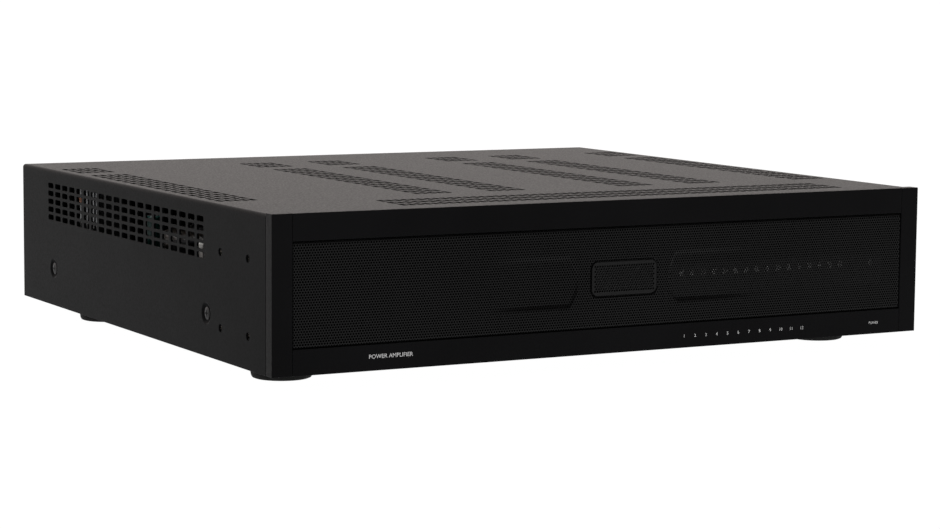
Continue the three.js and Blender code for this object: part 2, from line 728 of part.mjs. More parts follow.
const coverPaint = finish(0x2b2b2b, 0.55, 0.3);
const frontPaint = finish(0x141414, 0.5, 0.2);
const grillePaint = finish(0x1a1a1a, 0.45, 0.5);
const badgePaint = finish(0x303030, 0.4, 0.3);
const rubber = finish(0x101010, 0.8, 0);
const filterFoam = finish(0x121212, 0.9, 0);
const blackPlastic = finish(0x161616, 0.6, 0);
const greenPlastic = finish(0x1f7a44, 0.5, 0);
const zincSteel = finish(0xb8b9ba, 0.4, 0.9);
const blackScrew = finish(0x202020, 0.35, 0.8);
const aluminium = finish(0xc4c6c8, 0.45, 0.8);
const blackAnodised = finish(0x222224, 0.5, 0.6);
const circuitBoard = finish(0x23563a, 0.6, 0);
const capacitorSleeve = finish(0x1d1d22, 0.4, 0);
const tealSleeve = finish(0x1f6f68, 0.4, 0);
const windingTape = finish(0x1a1614, 0.4, 0);
const ribbonGrey = finish(0x9a9a9a, 0.6, 0);

// --- Assembly -----------------------------------------------------------------------------

const chassis = new THREE.Group();
chassis.position.set(0, -overallDepth / 2, footHeight);

function place(name, geometry, material, position = [0, 0, 0]) {
  const mesh = new THREE.Mesh(geometry, material);
  mesh.name = name;
  mesh.position.set(...position);
  chassis.add(mesh);
  return mesh;
}

place('front_frame', frontFrame(), frontPaint);
place('front_grille', frontGrille(), grillePaint);
place('badge_plate', badgePlate(), badgePaint);
place('air_filter', airFilter(), filterFoam);
place('lamp_board', lampBoard(), circuitBoard);
place('top_cover', topCover(), coverPaint);
place('base_pan', basePan(), coverPaint);
place('rear_panel', rearPanel(), coverPaint);

for (const [side, word] of [[-1, 'left'], [1, 'right']]) {
  place(`end_cap_${word}`, endCap(side), frontPaint);
  place(`rack_nut_plate_${word}`, rackNutPlate(side), zincSteel);
  for (const spot of screwPlaces) {
    place(`cover_screw_${word}_${spot.end}`, coverScrew(side, spot), blackScrew);
  }
  foot.y.forEach((y, index) => {
    const end = index === 0 ? 'front' : 'rear';
    place(`foot_${word}_${end}`, footShape(), rubber, [side * foot.x, y, -footHeight]);
  });
}

for (const [word, xSpan] of Object.entries(amplifierBoards)) {
  place(`amplifier_board_${word}`, amplifierBoard(xSpan), circuitBoard);
}
heatsink.x.forEach((x, index) => place(`heatsink_${index + 1}`, heatsinkShape(), blackAnodised, [x, 0, 0]));
place('power_supply_board', boardPlate(supplyBoard), circuitBoard);
place('power_supply_heatsink', supplyHeatsink(), aluminium);
place('power_transformer', transformer(), windingTape);
place('transformer_clamp', transformerClamp(), zincSteel);
place('bulk_capacitor_1', bulkCapacitor(bulkCapacitors[0]), capacitorSleeve);
place('bulk_capacitor_2', bulkCapacitor(bulkCapacitors[1]), tealSleeve);
place('mains_lead', mainsLead(), blackPlastic);
place('lamp_ribbon', lampRibbon(), ribbonGrey);

place('fan_frame', fanFrame(), blackPlastic);
place('fan_rotor', fanRotor(), blackPlastic, [fan.x, (fanY[0] + fanY[1]) / 2 + 1.2, fan.z]);

place('power_inlet', powerInlet(), blackPlastic);
place('fuse_drawer', fuseDrawer(), blackPlastic);
place('rocker_housing', rockerHousing(), blackPlastic);
const rockerMesh = place('power_rocker', powerRocker(), blackPlastic, [rocker.x, rockerPivotY, rocker.z]);
rockerMesh.rotation.x = -THREE.MathUtils.degToRad(rocker.tilt);
place('mode_switch_housing', modeSwitchHousing(), blackPlastic);
place('mode_slider', modeSlider(), blackPlastic);
place('trigger_jack', triggerJackShape(), blackPlastic);
place('ground_post', groundPostShape(), zincSteel);
place('input_board', inputBoard(), circuitBoard);
place('input_jack_block', inputJackBlock(), blackPlastic);
place('speaker_header', speakerHeader(), greenPlastic);
zoneCentres.forEach((x, index) => {
  place(`level_knob_${index + 1}`, levelKnob(), blackPlastic, [x + knob.side, rearFace, knob.z]);
  place(`speaker_plug_${index + 1}`, speakerPlug(), greenPlastic, [x, rearFace, plug.z]);
});

export default chassis;
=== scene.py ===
"""Visual model of a twelve-channel rack amplifier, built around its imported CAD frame.

Shapes are worked out in the chassis frame, in millimetres: x to the right seen from the front, y from the
front face to the back, z up from the underside of the case. piece() turns them into the row frame's metres.
A shape is a pair: its points, and its faces as tuples of point numbers.
"""

import math

import bmesh
import bpy
from mathutils import Matrix, Vector
from mathutils.geometry import delaunay_2d_cdt


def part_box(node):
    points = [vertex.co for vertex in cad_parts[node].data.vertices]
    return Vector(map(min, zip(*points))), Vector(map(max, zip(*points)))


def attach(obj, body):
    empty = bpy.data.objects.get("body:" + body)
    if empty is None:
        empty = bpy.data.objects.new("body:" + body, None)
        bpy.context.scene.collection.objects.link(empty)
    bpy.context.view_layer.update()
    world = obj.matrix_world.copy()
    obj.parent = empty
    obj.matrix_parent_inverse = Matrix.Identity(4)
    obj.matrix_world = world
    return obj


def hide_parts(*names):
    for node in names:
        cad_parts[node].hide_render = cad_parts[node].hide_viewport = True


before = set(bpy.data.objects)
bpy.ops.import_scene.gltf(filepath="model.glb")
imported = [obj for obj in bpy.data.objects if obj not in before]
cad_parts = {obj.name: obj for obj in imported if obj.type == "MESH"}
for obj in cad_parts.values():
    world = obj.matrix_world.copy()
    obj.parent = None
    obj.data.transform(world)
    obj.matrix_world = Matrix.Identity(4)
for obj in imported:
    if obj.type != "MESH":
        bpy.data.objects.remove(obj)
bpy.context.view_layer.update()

# --- The chassis frame, and sizes in it -----------------------------------------------------------------

MM = 0.001
FRONT_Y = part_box("front_frame")[0].y
UNDERSIDE_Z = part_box("base_pan")[0].z
TO_ROW = Matrix.Translation((0, FRONT_Y, UNDERSIDE_Z)) @ Matrix.Scale(MM, 4)
TO_CHASSIS = TO_ROW.inverted()


def span(node):
    """A CAD node's limits in chassis millimetres: (x0, x1), (y0, y1), (z0, z1)."""
    low, high = (TO_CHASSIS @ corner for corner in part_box(node))
    return [(low[i], high[i]) for i in range(3)]


def middle(limits):
    return (limits[0] + limits[1]) / 2


COVER = span("top_cover")
COVER_HALF = COVER[0][1]
COVER_TOP = COVER[2][1]
PANEL_TOP = span("front_frame")[2][1]
FRONT_HALF = span("front_frame")[0][1]
FRONT_DEPTH = span("front_frame")[1][1]
GRILLE = span("front_grille")
BADGE = span("badge_plate")
REAR_FACE = span("rear_panel")[1][1]

SHEET = 1.2
BEND = 2.0
RAIL_TOP = 73.0
RAIL_BOTTOM = 14.5
REBATE = 6.5
SLOT_LONG = 9.6
SLOT_WIDE = 3.4
SLOT_CORNER = 1.2
PITCH_LONG = 12.9
PITCH_WIDE = 5.05
SIDE_PITCH_Z = 5.125
STRIP_CENTRES = (-197, -72, -22, 68, 118, 197)
STRIP_RUNS = ((90.5, 16), (312, 3))
FRONT_STRIP_X = 25.75
FRONT_STRIP_Y = 28
SCREW_SPOTS = {"front": (89, 24.5), "rear": (338, 24)}
EAR_HOLES = [(y, z) for y in (31.5, 69) for z in (18.5, 61.2)]
LAMP_X = [47.25 + 7.62 * i for i in range(16)]
POWER_LAMP_X = 184
LAMP_Z = 43.3
PRINT_Z = 6.75
PRINT_Y = -0.01
SIDES = {"left": -1, "right": 1}
ZONES = [middle(span(f"speaker_plug_{i}")[0]) for i in range(1, 7)]
SERVICE_X = middle(span("trigger_jack")[0])


# --- Shape tools ----------------------------------------------------------------------------------------


def moved(shape, matrix):
    points, faces = shape
    return [matrix @ Vector(point) for point in points], faces


def from_bmesh(bm):
    shape = [vert.co.copy() for vert in bm.verts], [tuple(v.index for v in face.verts) for face in bm.faces]
    bm.free()
    return shape


def piece(name, parts, body="chassis", replaces=(), sharp=35):
    """One object from (shape, material) pairs, riding on a body and standing for CAD nodes."""
    points, faces, owners, materials = [], [], [], []
    for (shape_points, shape_faces), material in parts:
        if material not in materials:
            materials.append(material)
        base = len(points)
        points.extend(TO_ROW @ Vector(point) for point in shape_points)
        faces.extend(tuple(base + i for i in face) for face in shape_faces)
        owners.extend([materials.index(material)] * len(shape_faces))
    mesh = bpy.data.meshes.new(name)
    mesh.from_pydata(points, [], faces)
    mesh.polygons.foreach_set("material_index", owners)
    for material in materials:
        mesh.materials.append(material)
    bm = bmesh.new()
    bm.from_mesh(mesh)
    bmesh.ops.recalc_face_normals(bm, faces=bm.faces)
    bm.to_mesh(mesh)
    bm.free()
    mesh.shade_smooth()
    mesh.set_sharp_from_angle(angle=math.radians(sharp))
    thing = bpy.data.objects.new(name, mesh)
    weighted = thing.modifiers.new("weighted", "WEIGHTED_NORMAL")
    weighted.keep_sharp = True
    bpy.context.scene.collection.objects.link(thing)
    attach(thing, body)
    if replaces:
        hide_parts(*replaces)


def detail(node, parts, slot, body="chassis", sharp=35):
    """The piece that stands for one CAD node and is named after it."""
    piece(f"{node}_detail", parts, body, [node], sharp)


def coated(material, *shapes):
    return [(shape, material) for shape in shapes]


def block(xs, ys, zs, edge=0.3, segments=2):
    """A box with rounded edges."""
    bm = bmesh.new()
    bmesh.ops.create_cube(bm, size=1)
    size = [limits[1] - limits[0] for limits in (xs, ys, zs)]
    centre = Vector([middle(limits) for limits in (xs, ys, zs)])
    bmesh.ops.transform(bm, matrix=Matrix.Translation(centre) @ Matrix.Diagonal((*size, 1)), verts=bm.verts)
    bmesh.ops.bevel(bm, geom=bm.edges[:], offset=edge, segments=segments, affect="EDGES", profile=0.5)
    bm.verts.index_update()
    return from_bmesh(bm)


def around(centre, size):
    return (centre - size / 2, centre + size / 2)


def circle(centre, radius, count, start=0.0):
    angles = [start + 2 * math.pi * i / count for i in range(count)]
    return [(centre[0] + radius * math.cos(a), centre[1] + radius * math.sin(a)) for a in angles]


def rounded(us, vs, radius, steps=3):
    """The outline of a rectangle with round corners, counter-clockwise."""
    outline = []
    corners = ((us[1], vs[1], -1, -1), (us[0], vs[1], 1, -1), (us[0], vs[0], 1, 1), (us[1], vs[0], -1, 1))
    for quarter, (u, v, inward_u, inward_v) in enumerate(corners):
        for i in range(steps + 1):
            angle = math.pi / 2 * (quarter + i / steps)
            outline.append((u + inward_u * radius + radius * math.cos(angle),
                            v + inward_v * radius + radius * math.sin(angle)))
    return outline


def anticlockwise(loop):
    area = sum(a[0] * b[1] - b[0] * a[1] for a, b in zip(loop, loop[1:] + loop[:1]))
    return loop if area > 0 else loop[::-1]


def normals(loop):
    """Unit normals at each point of an anticlockwise outline, pointing away from its inside."""
    result = []
    for before, after in zip(loop[-1:] + loop[:-1], loop[1:] + loop[:1]):
        along = Vector((after[0] - before[0], after[1] - before[1])).normalized()
        result.append((along.y, -along.x))
    return result


AXES = {
    "x": lambda u, v, t: (t, u, v),
    "y": lambda u, v, t: (u, t, v),
    "z": lambda u, v, t: (u, v, t),
}


def loft(sections):
    """A closed skin through rings of points that all have the same count."""
    count = len(sections[0])
    points = [point for section in sections for point in section]
    faces = [tuple(range(count)), tuple(range(len(points) - count, len(points)))]
    for base in range(0, len(points) - count, count):
        for i in range(count):
            j = (i + 1) % count
            faces.append((base + i, base + j, base + count + j, base + count + i))
    return points, faces


def prism(outline, axis, low, high, edge=0.3, steps=2):
    """An outline pushed along an axis, with rounded rims."""
    levels = []
    for i in range(steps + 1):
        angle = math.pi / 2 * i / steps
        levels.append((edge * (1 - math.sin(angle)), low + edge * (1 - math.cos(angle))))
    levels += [(inset, high + low - t) for inset, t in reversed(levels)]
    outline = anticlockwise(outline)
    outward = normals(outline)
    place = AXES[axis]
    return loft([[place(u - n[0] * inset, v - n[1] * inset, t) for (u, v), n in zip(outline, outward)]
                 for inset, t in levels])


def lathe(profile, axis, centre, segments=48):
    """(radius, distance) pairs turned round an axis through centre, whose third number shifts the distances.

    A profile that starts away from the axis closes on itself, into a ring.
    """
    place = AXES[axis]
    points, rings = [], []
    for radius, t in profile:
        ring = []
        for u, v in ([centre[:2]] if radius == 0 else circle(centre, radius, segments)):
            ring.append(len(points))
            points.append(place(u, v, centre[2] + t))
        rings.append(ring)
    faces = []
    following = rings[1:] + rings[:1] if profile[0][0] > 0 else rings[1:]
    for lower, upper in zip(rings, following):
        for i in range(segments):
            j = (i + 1) % segments
            corners = [ring[k % len(ring)] for ring, k in ((lower, i), (lower, j), (upper, j), (upper, i))]
            faces.append(tuple(dict.fromkeys(corners)))
    return points, faces


WELD = 0.00001


def pierced(outer, holes, thickness, place, chamfer=0.0, creases=(), rings=()):
    """A closed sheet with holes, drawn flat and put in place by place(u, v, depth).

    creases are lines across the sheet that it may bend along, and rings are outlines that it is pressed to.
    """
    loops = [anticlockwise(loop) for loop in (outer, *holes)]
    flat, members = [], []
    for loop in [*loops, *rings, *creases]:
        members.append(range(len(flat), len(flat) + len(loop)))
        flat.extend(loop)
    loop_members = members[:len(loops)]
    ring_members = members[len(loops):len(loops) + len(rings)]
    edges = [(a, b) for m in ring_members for a, b in zip(m, [*m[1:], m[0]])]
    edges += [(m[0], m[-1]) for m in members[len(loops) + len(rings):]]
    found = delaunay_2d_cdt([Vector(p) for p in flat], edges, [list(m) for m in loop_members], 0, WELD, True)
    vertices, faces, origins, owners = found[0], found[2], found[3], found[5]
    kept = [tuple(face) for face, owner in zip(faces, owners) if list(owner) == [0]]
    number = {}
    for new, old in enumerate(origins):
        for index in old:
            number[index] = new
    shift = {}
    for loop, member in zip(loops, loop_members):
        grow = -chamfer if loop is loops[0] else chamfer
        for index, (nu, nv) in zip(member, normals(loop)):
            shift[number[index]] = (nu * grow, nv * grow)
    top = []
    for i, p in enumerate(vertices):
        du, dv = shift.get(i, (0, 0))
        top.append(place(p.x + du, p.y + dv, 0))
    bottom = [place(p.x, p.y, thickness) for p in vertices]
    count = len(vertices)
    points = top + bottom
    shape_faces = kept + [tuple(count + i for i in reversed(face)) for face in kept]
    for member in loop_members:
        ring = [number[i] for i in member]
        levels = [ring]
        if chamfer:
            levels.append(range(len(points), len(points) + len(ring)))
            points.extend(place(vertices[i].x, vertices[i].y, chamfer) for i in ring)
        levels.append([count + i for i in ring])
        for upper, lower in zip(levels, levels[1:]):
            for i in range(len(ring)):
                j = (i + 1) % len(ring)
                shape_faces.append((upper[i], upper[j], lower[j], lower[i]))
    return points, shape_faces


def flat_rear(level):
    """Places a sheet that faces the back, with its outer face at y = level."""
    return lambda u, v, depth: (u, level - depth, v)


def flat_front(level):
    return lambda u, v, depth: (u, level + depth, v)


def flat_side(side, reach):
    return lambda u, v, depth: (side * (reach - depth), u, v)


def flat_top(level):
    return lambda u, v, depth: (u, v, level - depth)


CAPITAL_HEIGHT = 0.73
HALF_EXTRUSION = 0.02


def lettering(words, height, where, facing="front", thickness=0.03):
    """Raised print, centred on where = (x, y, z), with capitals of the given height."""
    curve = bpy.data.curves.new("lettering", "FONT")
    curve.body = words
    curve.align_x = "CENTER"
    curve.align_y = "CENTER"
    curve.resolution_u = 3
    curve.extrude = HALF_EXTRUSION
    helper = bpy.data.objects.new("lettering", curve)
    bpy.context.scene.collection.objects.link(helper)
    bpy.context.view_layer.update()
    made = bpy.data.meshes.new_from_object(helper.evaluated_get(bpy.context.evaluated_depsgraph_get()))
    scale = height / CAPITAL_HEIGHT
    turn = Matrix.Rotation(math.pi / 2, 4, "X")
    if facing == "rear":
        turn = Matrix.Rotation(math.pi, 4, "Z") @ turn
    size = Matrix.Diagonal((scale, scale, thickness / (2 * HALF_EXTRUSION), 1))
    place = Matrix.Translation(where) @ turn @ size
    shape = [place @ v.co for v in made.vertices], [tuple(p.vertices) for p in made.polygons]
    bpy.data.objects.remove(helper)
    bpy.data.curves.remove(curve)
    bpy.data.meshes.remove(made)
    return shape


# --- Material tools -------------------------------------------------------------------------------------


# The colour sockets of a Mix node have no names of their own.
MIX_FIRST = 6
MIX_SECOND = 7
MIX_RESULT = 2


class Finish:
    """A node material under construction, with its Principled shader."""

    def __init__(self, name, colour, roughness, metallic=0.0, specular=0.5):
        self.material = bpy.data.materials.new(name)
        self.material.use_nodes = True
        self.tree = self.material.node_tree
        self.shader = self.tree.nodes["Principled BSDF"]
        self.shader.inputs["Base Color"].default_value = (*colour, 1)
        self.shader.inputs["Roughness"].default_value = roughness
        self.shader.inputs["Metallic"].default_value = metallic
        self.shader.inputs["Specular IOR Level"].default_value = specular
        self.material.diffuse_color = (*colour, 1)
        self.where = self.node("ShaderNodeTexCoord").outputs["Object"]

    def node(self, kind, inputs=None, **settings):
        made = self.tree.nodes.new(kind)
        for key, value in settings.items():
            setattr(made, key, value)
        for key, value in (inputs or {}).items():
            if isinstance(value, bpy.types.NodeSocket):
                self.tree.links.new(value, made.inputs[key])
            else:
                made.inputs[key].default_value = value
        return made

    def noise(self, size_mm, detail=3.0, stretch=(1, 1, 1)):
        """Noise whose grains are about size_mm across, drawn out along the axes with a small stretch."""
        where = self.node("ShaderNodeMapping", {"Vector": self.where, "Scale": stretch}).outputs[0]
        inputs = {"Vector": where, "Scale": 1 / (size_mm * MM), "Detail": detail}
        return self.node("ShaderNodeTexNoise", inputs).outputs["Fac"]

    def ramp(self, value, low, high, start=0.3, end=0.7):
        inputs = {"Value": value, "From Min": start, "From Max": end, "To Min": low, "To Max": high}
        return self.node("ShaderNodeMapRange", inputs).outputs[0]

    def tint(self, value, first, second, start=0.3, end=0.7):
        """A colour between two, by a value."""
        made = self.node("ShaderNodeMix", {0: self.ramp(value, 0, 1, start, end)}, data_type="RGBA")
        made.inputs[MIX_FIRST].default_value = (*first, 1)
        made.inputs[MIX_SECOND].default_value = (*second, 1)
        return made.outputs[MIX_RESULT]

    def colour(self, socket):
        self.tree.links.new(socket, self.shader.inputs["Base Color"])
        return self

    def roughness(self, socket):
        self.tree.links.new(socket, self.shader.inputs["Roughness"])
        return self

    def bump(self, height, distance_mm, strength=1.0):
        inputs = {"Height": height, "Distance": distance_mm * MM, "Strength": strength}
        made = self.node("ShaderNodeBump", inputs)
        previous = self.shader.inputs["Normal"].links
        if previous:
            self.tree.links.new(previous[0].from_socket, made.inputs["Normal"])
        self.tree.links.new(made.outputs[0], self.shader.inputs["Normal"])
        return self


def shade(colour, factor):
    return tuple(channel * factor for channel in colour)


def grey(value):
    return (value, value, value)


def paint(name, colour, roughness, specular, grain_mm=0.5, depth_mm=0.02, ior=1.5):
    """Sprayed and baked paint: fine orange peel, soft cloudiness and a little dust."""
    finish = Finish(name, colour, roughness, specular=specular)
    finish.shader.inputs["IOR"].default_value = ior
    clouds = finish.noise(60, 2)
    peel = finish.noise(grain_mm, 2)
    specks = finish.noise(1.1, 1)
    finish.colour(finish.tint(clouds, shade(colour, 0.85), shade(colour, 1.2)))
    finish.roughness(finish.ramp(specks, roughness - 0.05, roughness + 0.06))
    finish.bump(peel, depth_mm, 0.6)
    return finish.material


def plastic(name, colour, roughness=0.5, grain_mm=0.35, specular=0.4):
    finish = Finish(name, colour, roughness, specular=specular)
    grain = finish.noise(grain_mm, 2)
    finish.colour(finish.tint(finish.noise(14, 3), shade(colour, 0.85), shade(colour, 1.15)))
    finish.roughness(finish.ramp(grain, roughness - 0.08, roughness + 0.08))
    finish.bump(grain, 0.02, 0.5)
    return finish.material


def metal(name, colour, roughness, stretch=(1, 1, 1), grain_mm=0.6):
    finish = Finish(name, colour, roughness, metallic=1.0)
    streaks = finish.noise(grain_mm, 4, stretch)
    finish.colour(finish.tint(finish.noise(9, 3), shade(colour, 0.82), shade(colour, 1.08)))
    finish.roughness(finish.ramp(streaks, roughness - 0.1, roughness + 0.12))
    finish.bump(streaks, 0.01, 0.4)
    return finish.material


def rubber_finish():
    finish = Finish("moulded_rubber", grey(0.006), 0.72, specular=0.12)
    finish.colour(finish.tint(finish.noise(6, 4), grey(0.004), (0.009, 0.009, 0.0088)))
    finish.roughness(finish.ramp(finish.noise(1.5, 3), 0.62, 0.85))
    finish.bump(finish.noise(0.3, 2), 0.03, 0.6)
    return finish.material


def board_finish():
    """Solder mask over copper tracks, with tinned pads."""
    finish = Finish("circuit_board", (0.01, 0.06, 0.03), 0.35)
    tracks = finish.node("ShaderNodeTexBrick", {
        "Vector": finish.where, "Scale": 90.0, "Mortar Size": 0.03,
        "Color1": (0.012, 0.07, 0.035, 1), "Color2": (0.009, 0.05, 0.026, 1), "Mortar": (0.02, 0.12, 0.06, 1),
    })
    pads = finish.node("ShaderNodeTexVoronoi", {"Vector": finish.where, "Scale": 260.0})
    spot = finish.ramp(pads.outputs["Distance"], 1, 0, 0.16, 0.2)
    mix = finish.node("ShaderNodeMix", {0: spot, MIX_FIRST: tracks.outputs["Color"]}, data_type="RGBA")
    mix.inputs[MIX_SECOND].default_value = (0.5, 0.5, 0.48, 1)
    finish.colour(mix.outputs[MIX_RESULT])
    finish.bump(tracks.outputs["Fac"], 0.03, 0.5)
    return finish.material


def tape_finish():
    """Black tape wound over copper, with the turns showing through."""
    finish = Finish("winding_tape", (0.015, 0.012, 0.01), 0.3)
    turns = finish.node("ShaderNodeTexWave", {"Vector": finish.where, "Scale": 220.0, "Distortion": 1.5})
    finish.colour(finish.tint(turns.outputs["Fac"], (0.01, 0.008, 0.007), (0.024, 0.017, 0.012)))
    finish.bump(turns.outputs["Fac"], 0.15, 0.8)
    return finish.material


def shade_foam_finish():
    """Open-cell foam: small pores between thin black walls, with painted shade darkening each pore."""
    finish = Finish("filter_foam", grey(0.01), 0.95, specular=0.1)
    cells = finish.node("ShaderNodeTexVoronoi", {"Vector": finish.where, "Scale": 900.0})
    distance = cells.outputs["Distance"]
    wall = finish.ramp(distance, 0, 1, 0.1, 0.5)
    finish.colour(finish.tint(distance, grey(0.001), grey(0.012), 0.1, 0.5))
    finish.bump(wall, 0.6)
    return finish.material


def mottled(name, dark, light, roughness, patch_mm, noise_detail):
    """A smooth finish whose colour drifts between two."""
    finish = Finish(name, light, roughness)
    finish.colour(finish.tint(finish.noise(patch_mm, noise_detail), dark, light))
    return finish.material


COVER_PAINT = paint("cover_paint", (0.005, 0.0051, 0.0054), 0.4, 0.5, ior=1.07)
FRONT_PAINT = paint("front_paint", (0.0045, 0.0044, 0.0049), 0.5, 0.05, 0.4, 0.012)
GRILLE_PAINT = paint("grille_paint", (0.0055, 0.0055, 0.0057), 0.36, 0.16, 0.3, 0.004)
SCREW_PAINT = paint("screw_paint", (0.003, 0.003, 0.0032), 0.35, 0.5, ior=1.2)
BADGE_PAINT = paint("badge_paint", (0.005, 0.005, 0.0053), 0.45, 0.2, 0.25, 0.006)
REAR_PAINT = paint("rear_paint", (0.012, 0.012, 0.0125), 0.5, 0.3)
RUBBER = rubber_finish()
BLACK_PLASTIC = plastic("black_plastic", (0.014, 0.014, 0.015))
GREEN_PLASTIC = plastic("green_plastic", (0.02, 0.22, 0.06))
WHITE_PLASTIC = plastic("white_plastic", (0.7, 0.7, 0.68))
RED_PLASTIC = plastic("red_plastic", (0.5, 0.02, 0.02))
GREY_PLASTIC = plastic("grey_plastic", (0.35, 0.35, 0.35))
BLACK_SLEEVE = plastic("black_sleeve", (0.008, 0.008, 0.01), 0.6, specular=0.15)
TEAL_SLEEVE = plastic("teal_sleeve", (0.007, 0.05, 0.042), 0.3)
ZINC = metal("zinc_plate", (0.62, 0.62, 0.6), 0.38, (1, 0.15, 1))
NICKEL = metal("nickel", (0.66, 0.64, 0.6), 0.22)
GOLD = metal("gold_plate", (0.83, 0.6, 0.25), 0.22)
BLACK_ZINC = metal("black_zinc", (0.018, 0.018, 0.02), 0.34)
BLACK_ANODISED = metal("black_anodised", (0.03, 0.03, 0.033), 0.45, (1, 0.06, 1), 0.8)
ALUMINIUM = metal("extruded_aluminium", (0.34, 0.35, 0.36), 0.36, (1, 0.06, 1), 0.8)
BOARD = board_finish()
TAPE = tape_finish()
# Dark foam for sheets that black out the inside behind the front mesh and over the fan: painted shade.
SHADE_FOAM = shade_foam_finish()
LENS = mottled("lamp_lens", (0.45, 0.46, 0.48), (0.7, 0.71, 0.73), 0.25, 1.2, 2)
ORANGE_PLASTIC = plastic("orange_plastic", (0.22, 0.07, 0.02), 0.35)
BLUE_PLASTIC = plastic("blue_plastic", (0.02, 0.06, 0.3), 0.35)
INK = mottled("white_ink", grey(0.72), grey(0.86), 0.55, 0.4, 3)


# --- Front ----------------------------------------------------------------------------------------------


WINDOW_PITCH = 39
WINDOW_WIDE = 34
WINDOW_ROWS = ((17.5, 36.5), (50.5, 70))


def make_front_frame():
    """Two plain rails and, set back between them, a plate with air windows."""
    xs = (-FRONT_HALF, FRONT_HALF)
    rails = [block(xs, (0, FRONT_DEPTH), zs, 0.2, 3) for zs in ((0, RAIL_BOTTOM), (RAIL_TOP, PANEL_TOP))]
    windows = [rounded(around(WINDOW_PITCH * (i - 4.5), WINDOW_WIDE), zs, 2)
               for i in range(10) for zs in WINDOW_ROWS]
    outline = [(xs[0], RAIL_BOTTOM), (xs[1], RAIL_BOTTOM), (xs[1], RAIL_TOP), (xs[0], RAIL_TOP)]
    back = pierced(outline, windows, FRONT_DEPTH - REBATE, flat_front(REBATE), 0.2)
    detail("front_frame", coated(FRONT_PAINT, *rails, back), "front_paint")


def make_end_caps():
    for word, side in SIDES.items():
        inner, outer = FRONT_HALF + 0.1, COVER_HALF
        us = (-outer, -inner) if side < 0 else (inner, outer)
        shape = prism(rounded(us, (0, FRONT_DEPTH), 0.4), "z", 0, PANEL_TOP, 0.3, 3)
        detail(f"end_cap_{word}", [(shape, FRONT_PAINT)], "front_paint")


GRILLE_MIDDLE_Z = middle(GRILLE[2])
GRILLE_HALF = GRILLE[0][1]
GRILLE_HALF_Z = (GRILLE[2][1] - GRILLE[2][0]) / 2
ROLL = 1.3
ROLL_ARC = ROLL * math.pi / 2
LIP = 1.2
MESH_THICK = 0.8
HOLE_RADIUS = 0.66
HOLE_PITCH = 1.64
ROW_PITCH = 1.42
MESH_ROWS = 43
MESH_COLUMNS = 250
MESH_RIM = 0.9
PRESS_DEPTH = 0.8
PRESS_Z = (28.5, 56)
PRESS_SOFT = 1.4
BAND_BOW = 4.5
# Across, a pressed band fades in between the first two numbers and out between the last two.
LEFT_BAND = (-90, -45, -26.5, -25)
RIGHT_BAND = (36, 37.5, 58, 100)
BADGE_X = middle(BADGE[0])
BADGE_Z = middle(BADGE[2])
BADGE_HALF_X = (BADGE[0][1] - BADGE[0][0]) / 2
BADGE_HALF_Z = (BADGE[2][1] - BADGE[2][0]) / 2
BADGE_CORNER = 4
BADGE_RIM = 1.8
POCKET_EDGE = (0.4, 1.3)


def rolled(t, half, depth):
    """Where a sheet that rolls back at both ends puts a point t from its middle: (across, back)."""
    flat = half - ROLL
    reach = abs(t)
    if reach <= flat:
        return t, depth
    if reach <= flat + ROLL_ARC:
        angle = (reach - flat) / ROLL
        radius = ROLL - depth
        return math.copysign(flat + radius * math.sin(angle), t), ROLL - radius * math.cos(angle)
    return math.copysign(half - depth, t), ROLL + reach - flat - ROLL_ARC


def ease(value, start, end):
    """0 at start, 1 at end, smooth between."""
    t = min(max((value - start) / (end - start), 0), 1)
    return t * t * (3 - 2 * t)


def pressed(x, z):
    """How far the mesh is pressed back, in two bands and in the badge's pocket.

    The bands fade out away from the badge.
    """
    above, beyond = (ease(z, level - PRESS_SOFT, level + PRESS_SOFT) for level in PRESS_Z)
    bow = BAND_BOW * ((z - middle(PRESS_Z)) / (PRESS_Z[1] - PRESS_Z[0]) * 2) ** 2
    left = ease(x, *LEFT_BAND[:2]) * (1 - ease(x, LEFT_BAND[2] - bow, LEFT_BAND[3] - bow))
    right = ease(x, RIGHT_BAND[0] + bow, RIGHT_BAND[1] + bow) * (1 - ease(x, *RIGHT_BAND[2:]))
    bands = above * (1 - beyond) * (left + right)
    past_x = max(abs(x - BADGE_X) - (BADGE_HALF_X - BADGE_CORNER), 0)
    past_z = max(abs(z - BADGE_Z) - (BADGE_HALF_Z - BADGE_CORNER), 0)
    pocket = 1 - ease(math.hypot(past_x, past_z) - BADGE_CORNER, *POCKET_EDGE)
    return PRESS_DEPTH * max(bands, pocket)


def place_grille(u, v, depth):
    x, back_x = rolled(u, GRILLE_HALF, depth)
    z, back_z = rolled(v, GRILLE_HALF_Z, depth)
    z += GRILLE_MIDDLE_Z
    return x, GRILLE[1][0] + back_x + back_z - depth + pressed(x, z), z


def row_offset(row):
    """Each second row of holes stands half a pitch along."""
    return HOLE_PITCH / 2 * (row % 2)


def mesh_spots(row_count, column_count):
    """Hole centres of the perforation: the row, then u and v from its middle."""
    for row in range(row_count):
        v = ROW_PITCH * (row - (row_count - 1) / 2)
        for column in range(column_count):
            yield row, HOLE_PITCH * (column - (column_count - 1) / 2) + row_offset(row), v


def mesh_hole(u, v):
    return circle((u, v), HOLE_RADIUS, 6, math.pi / 6)


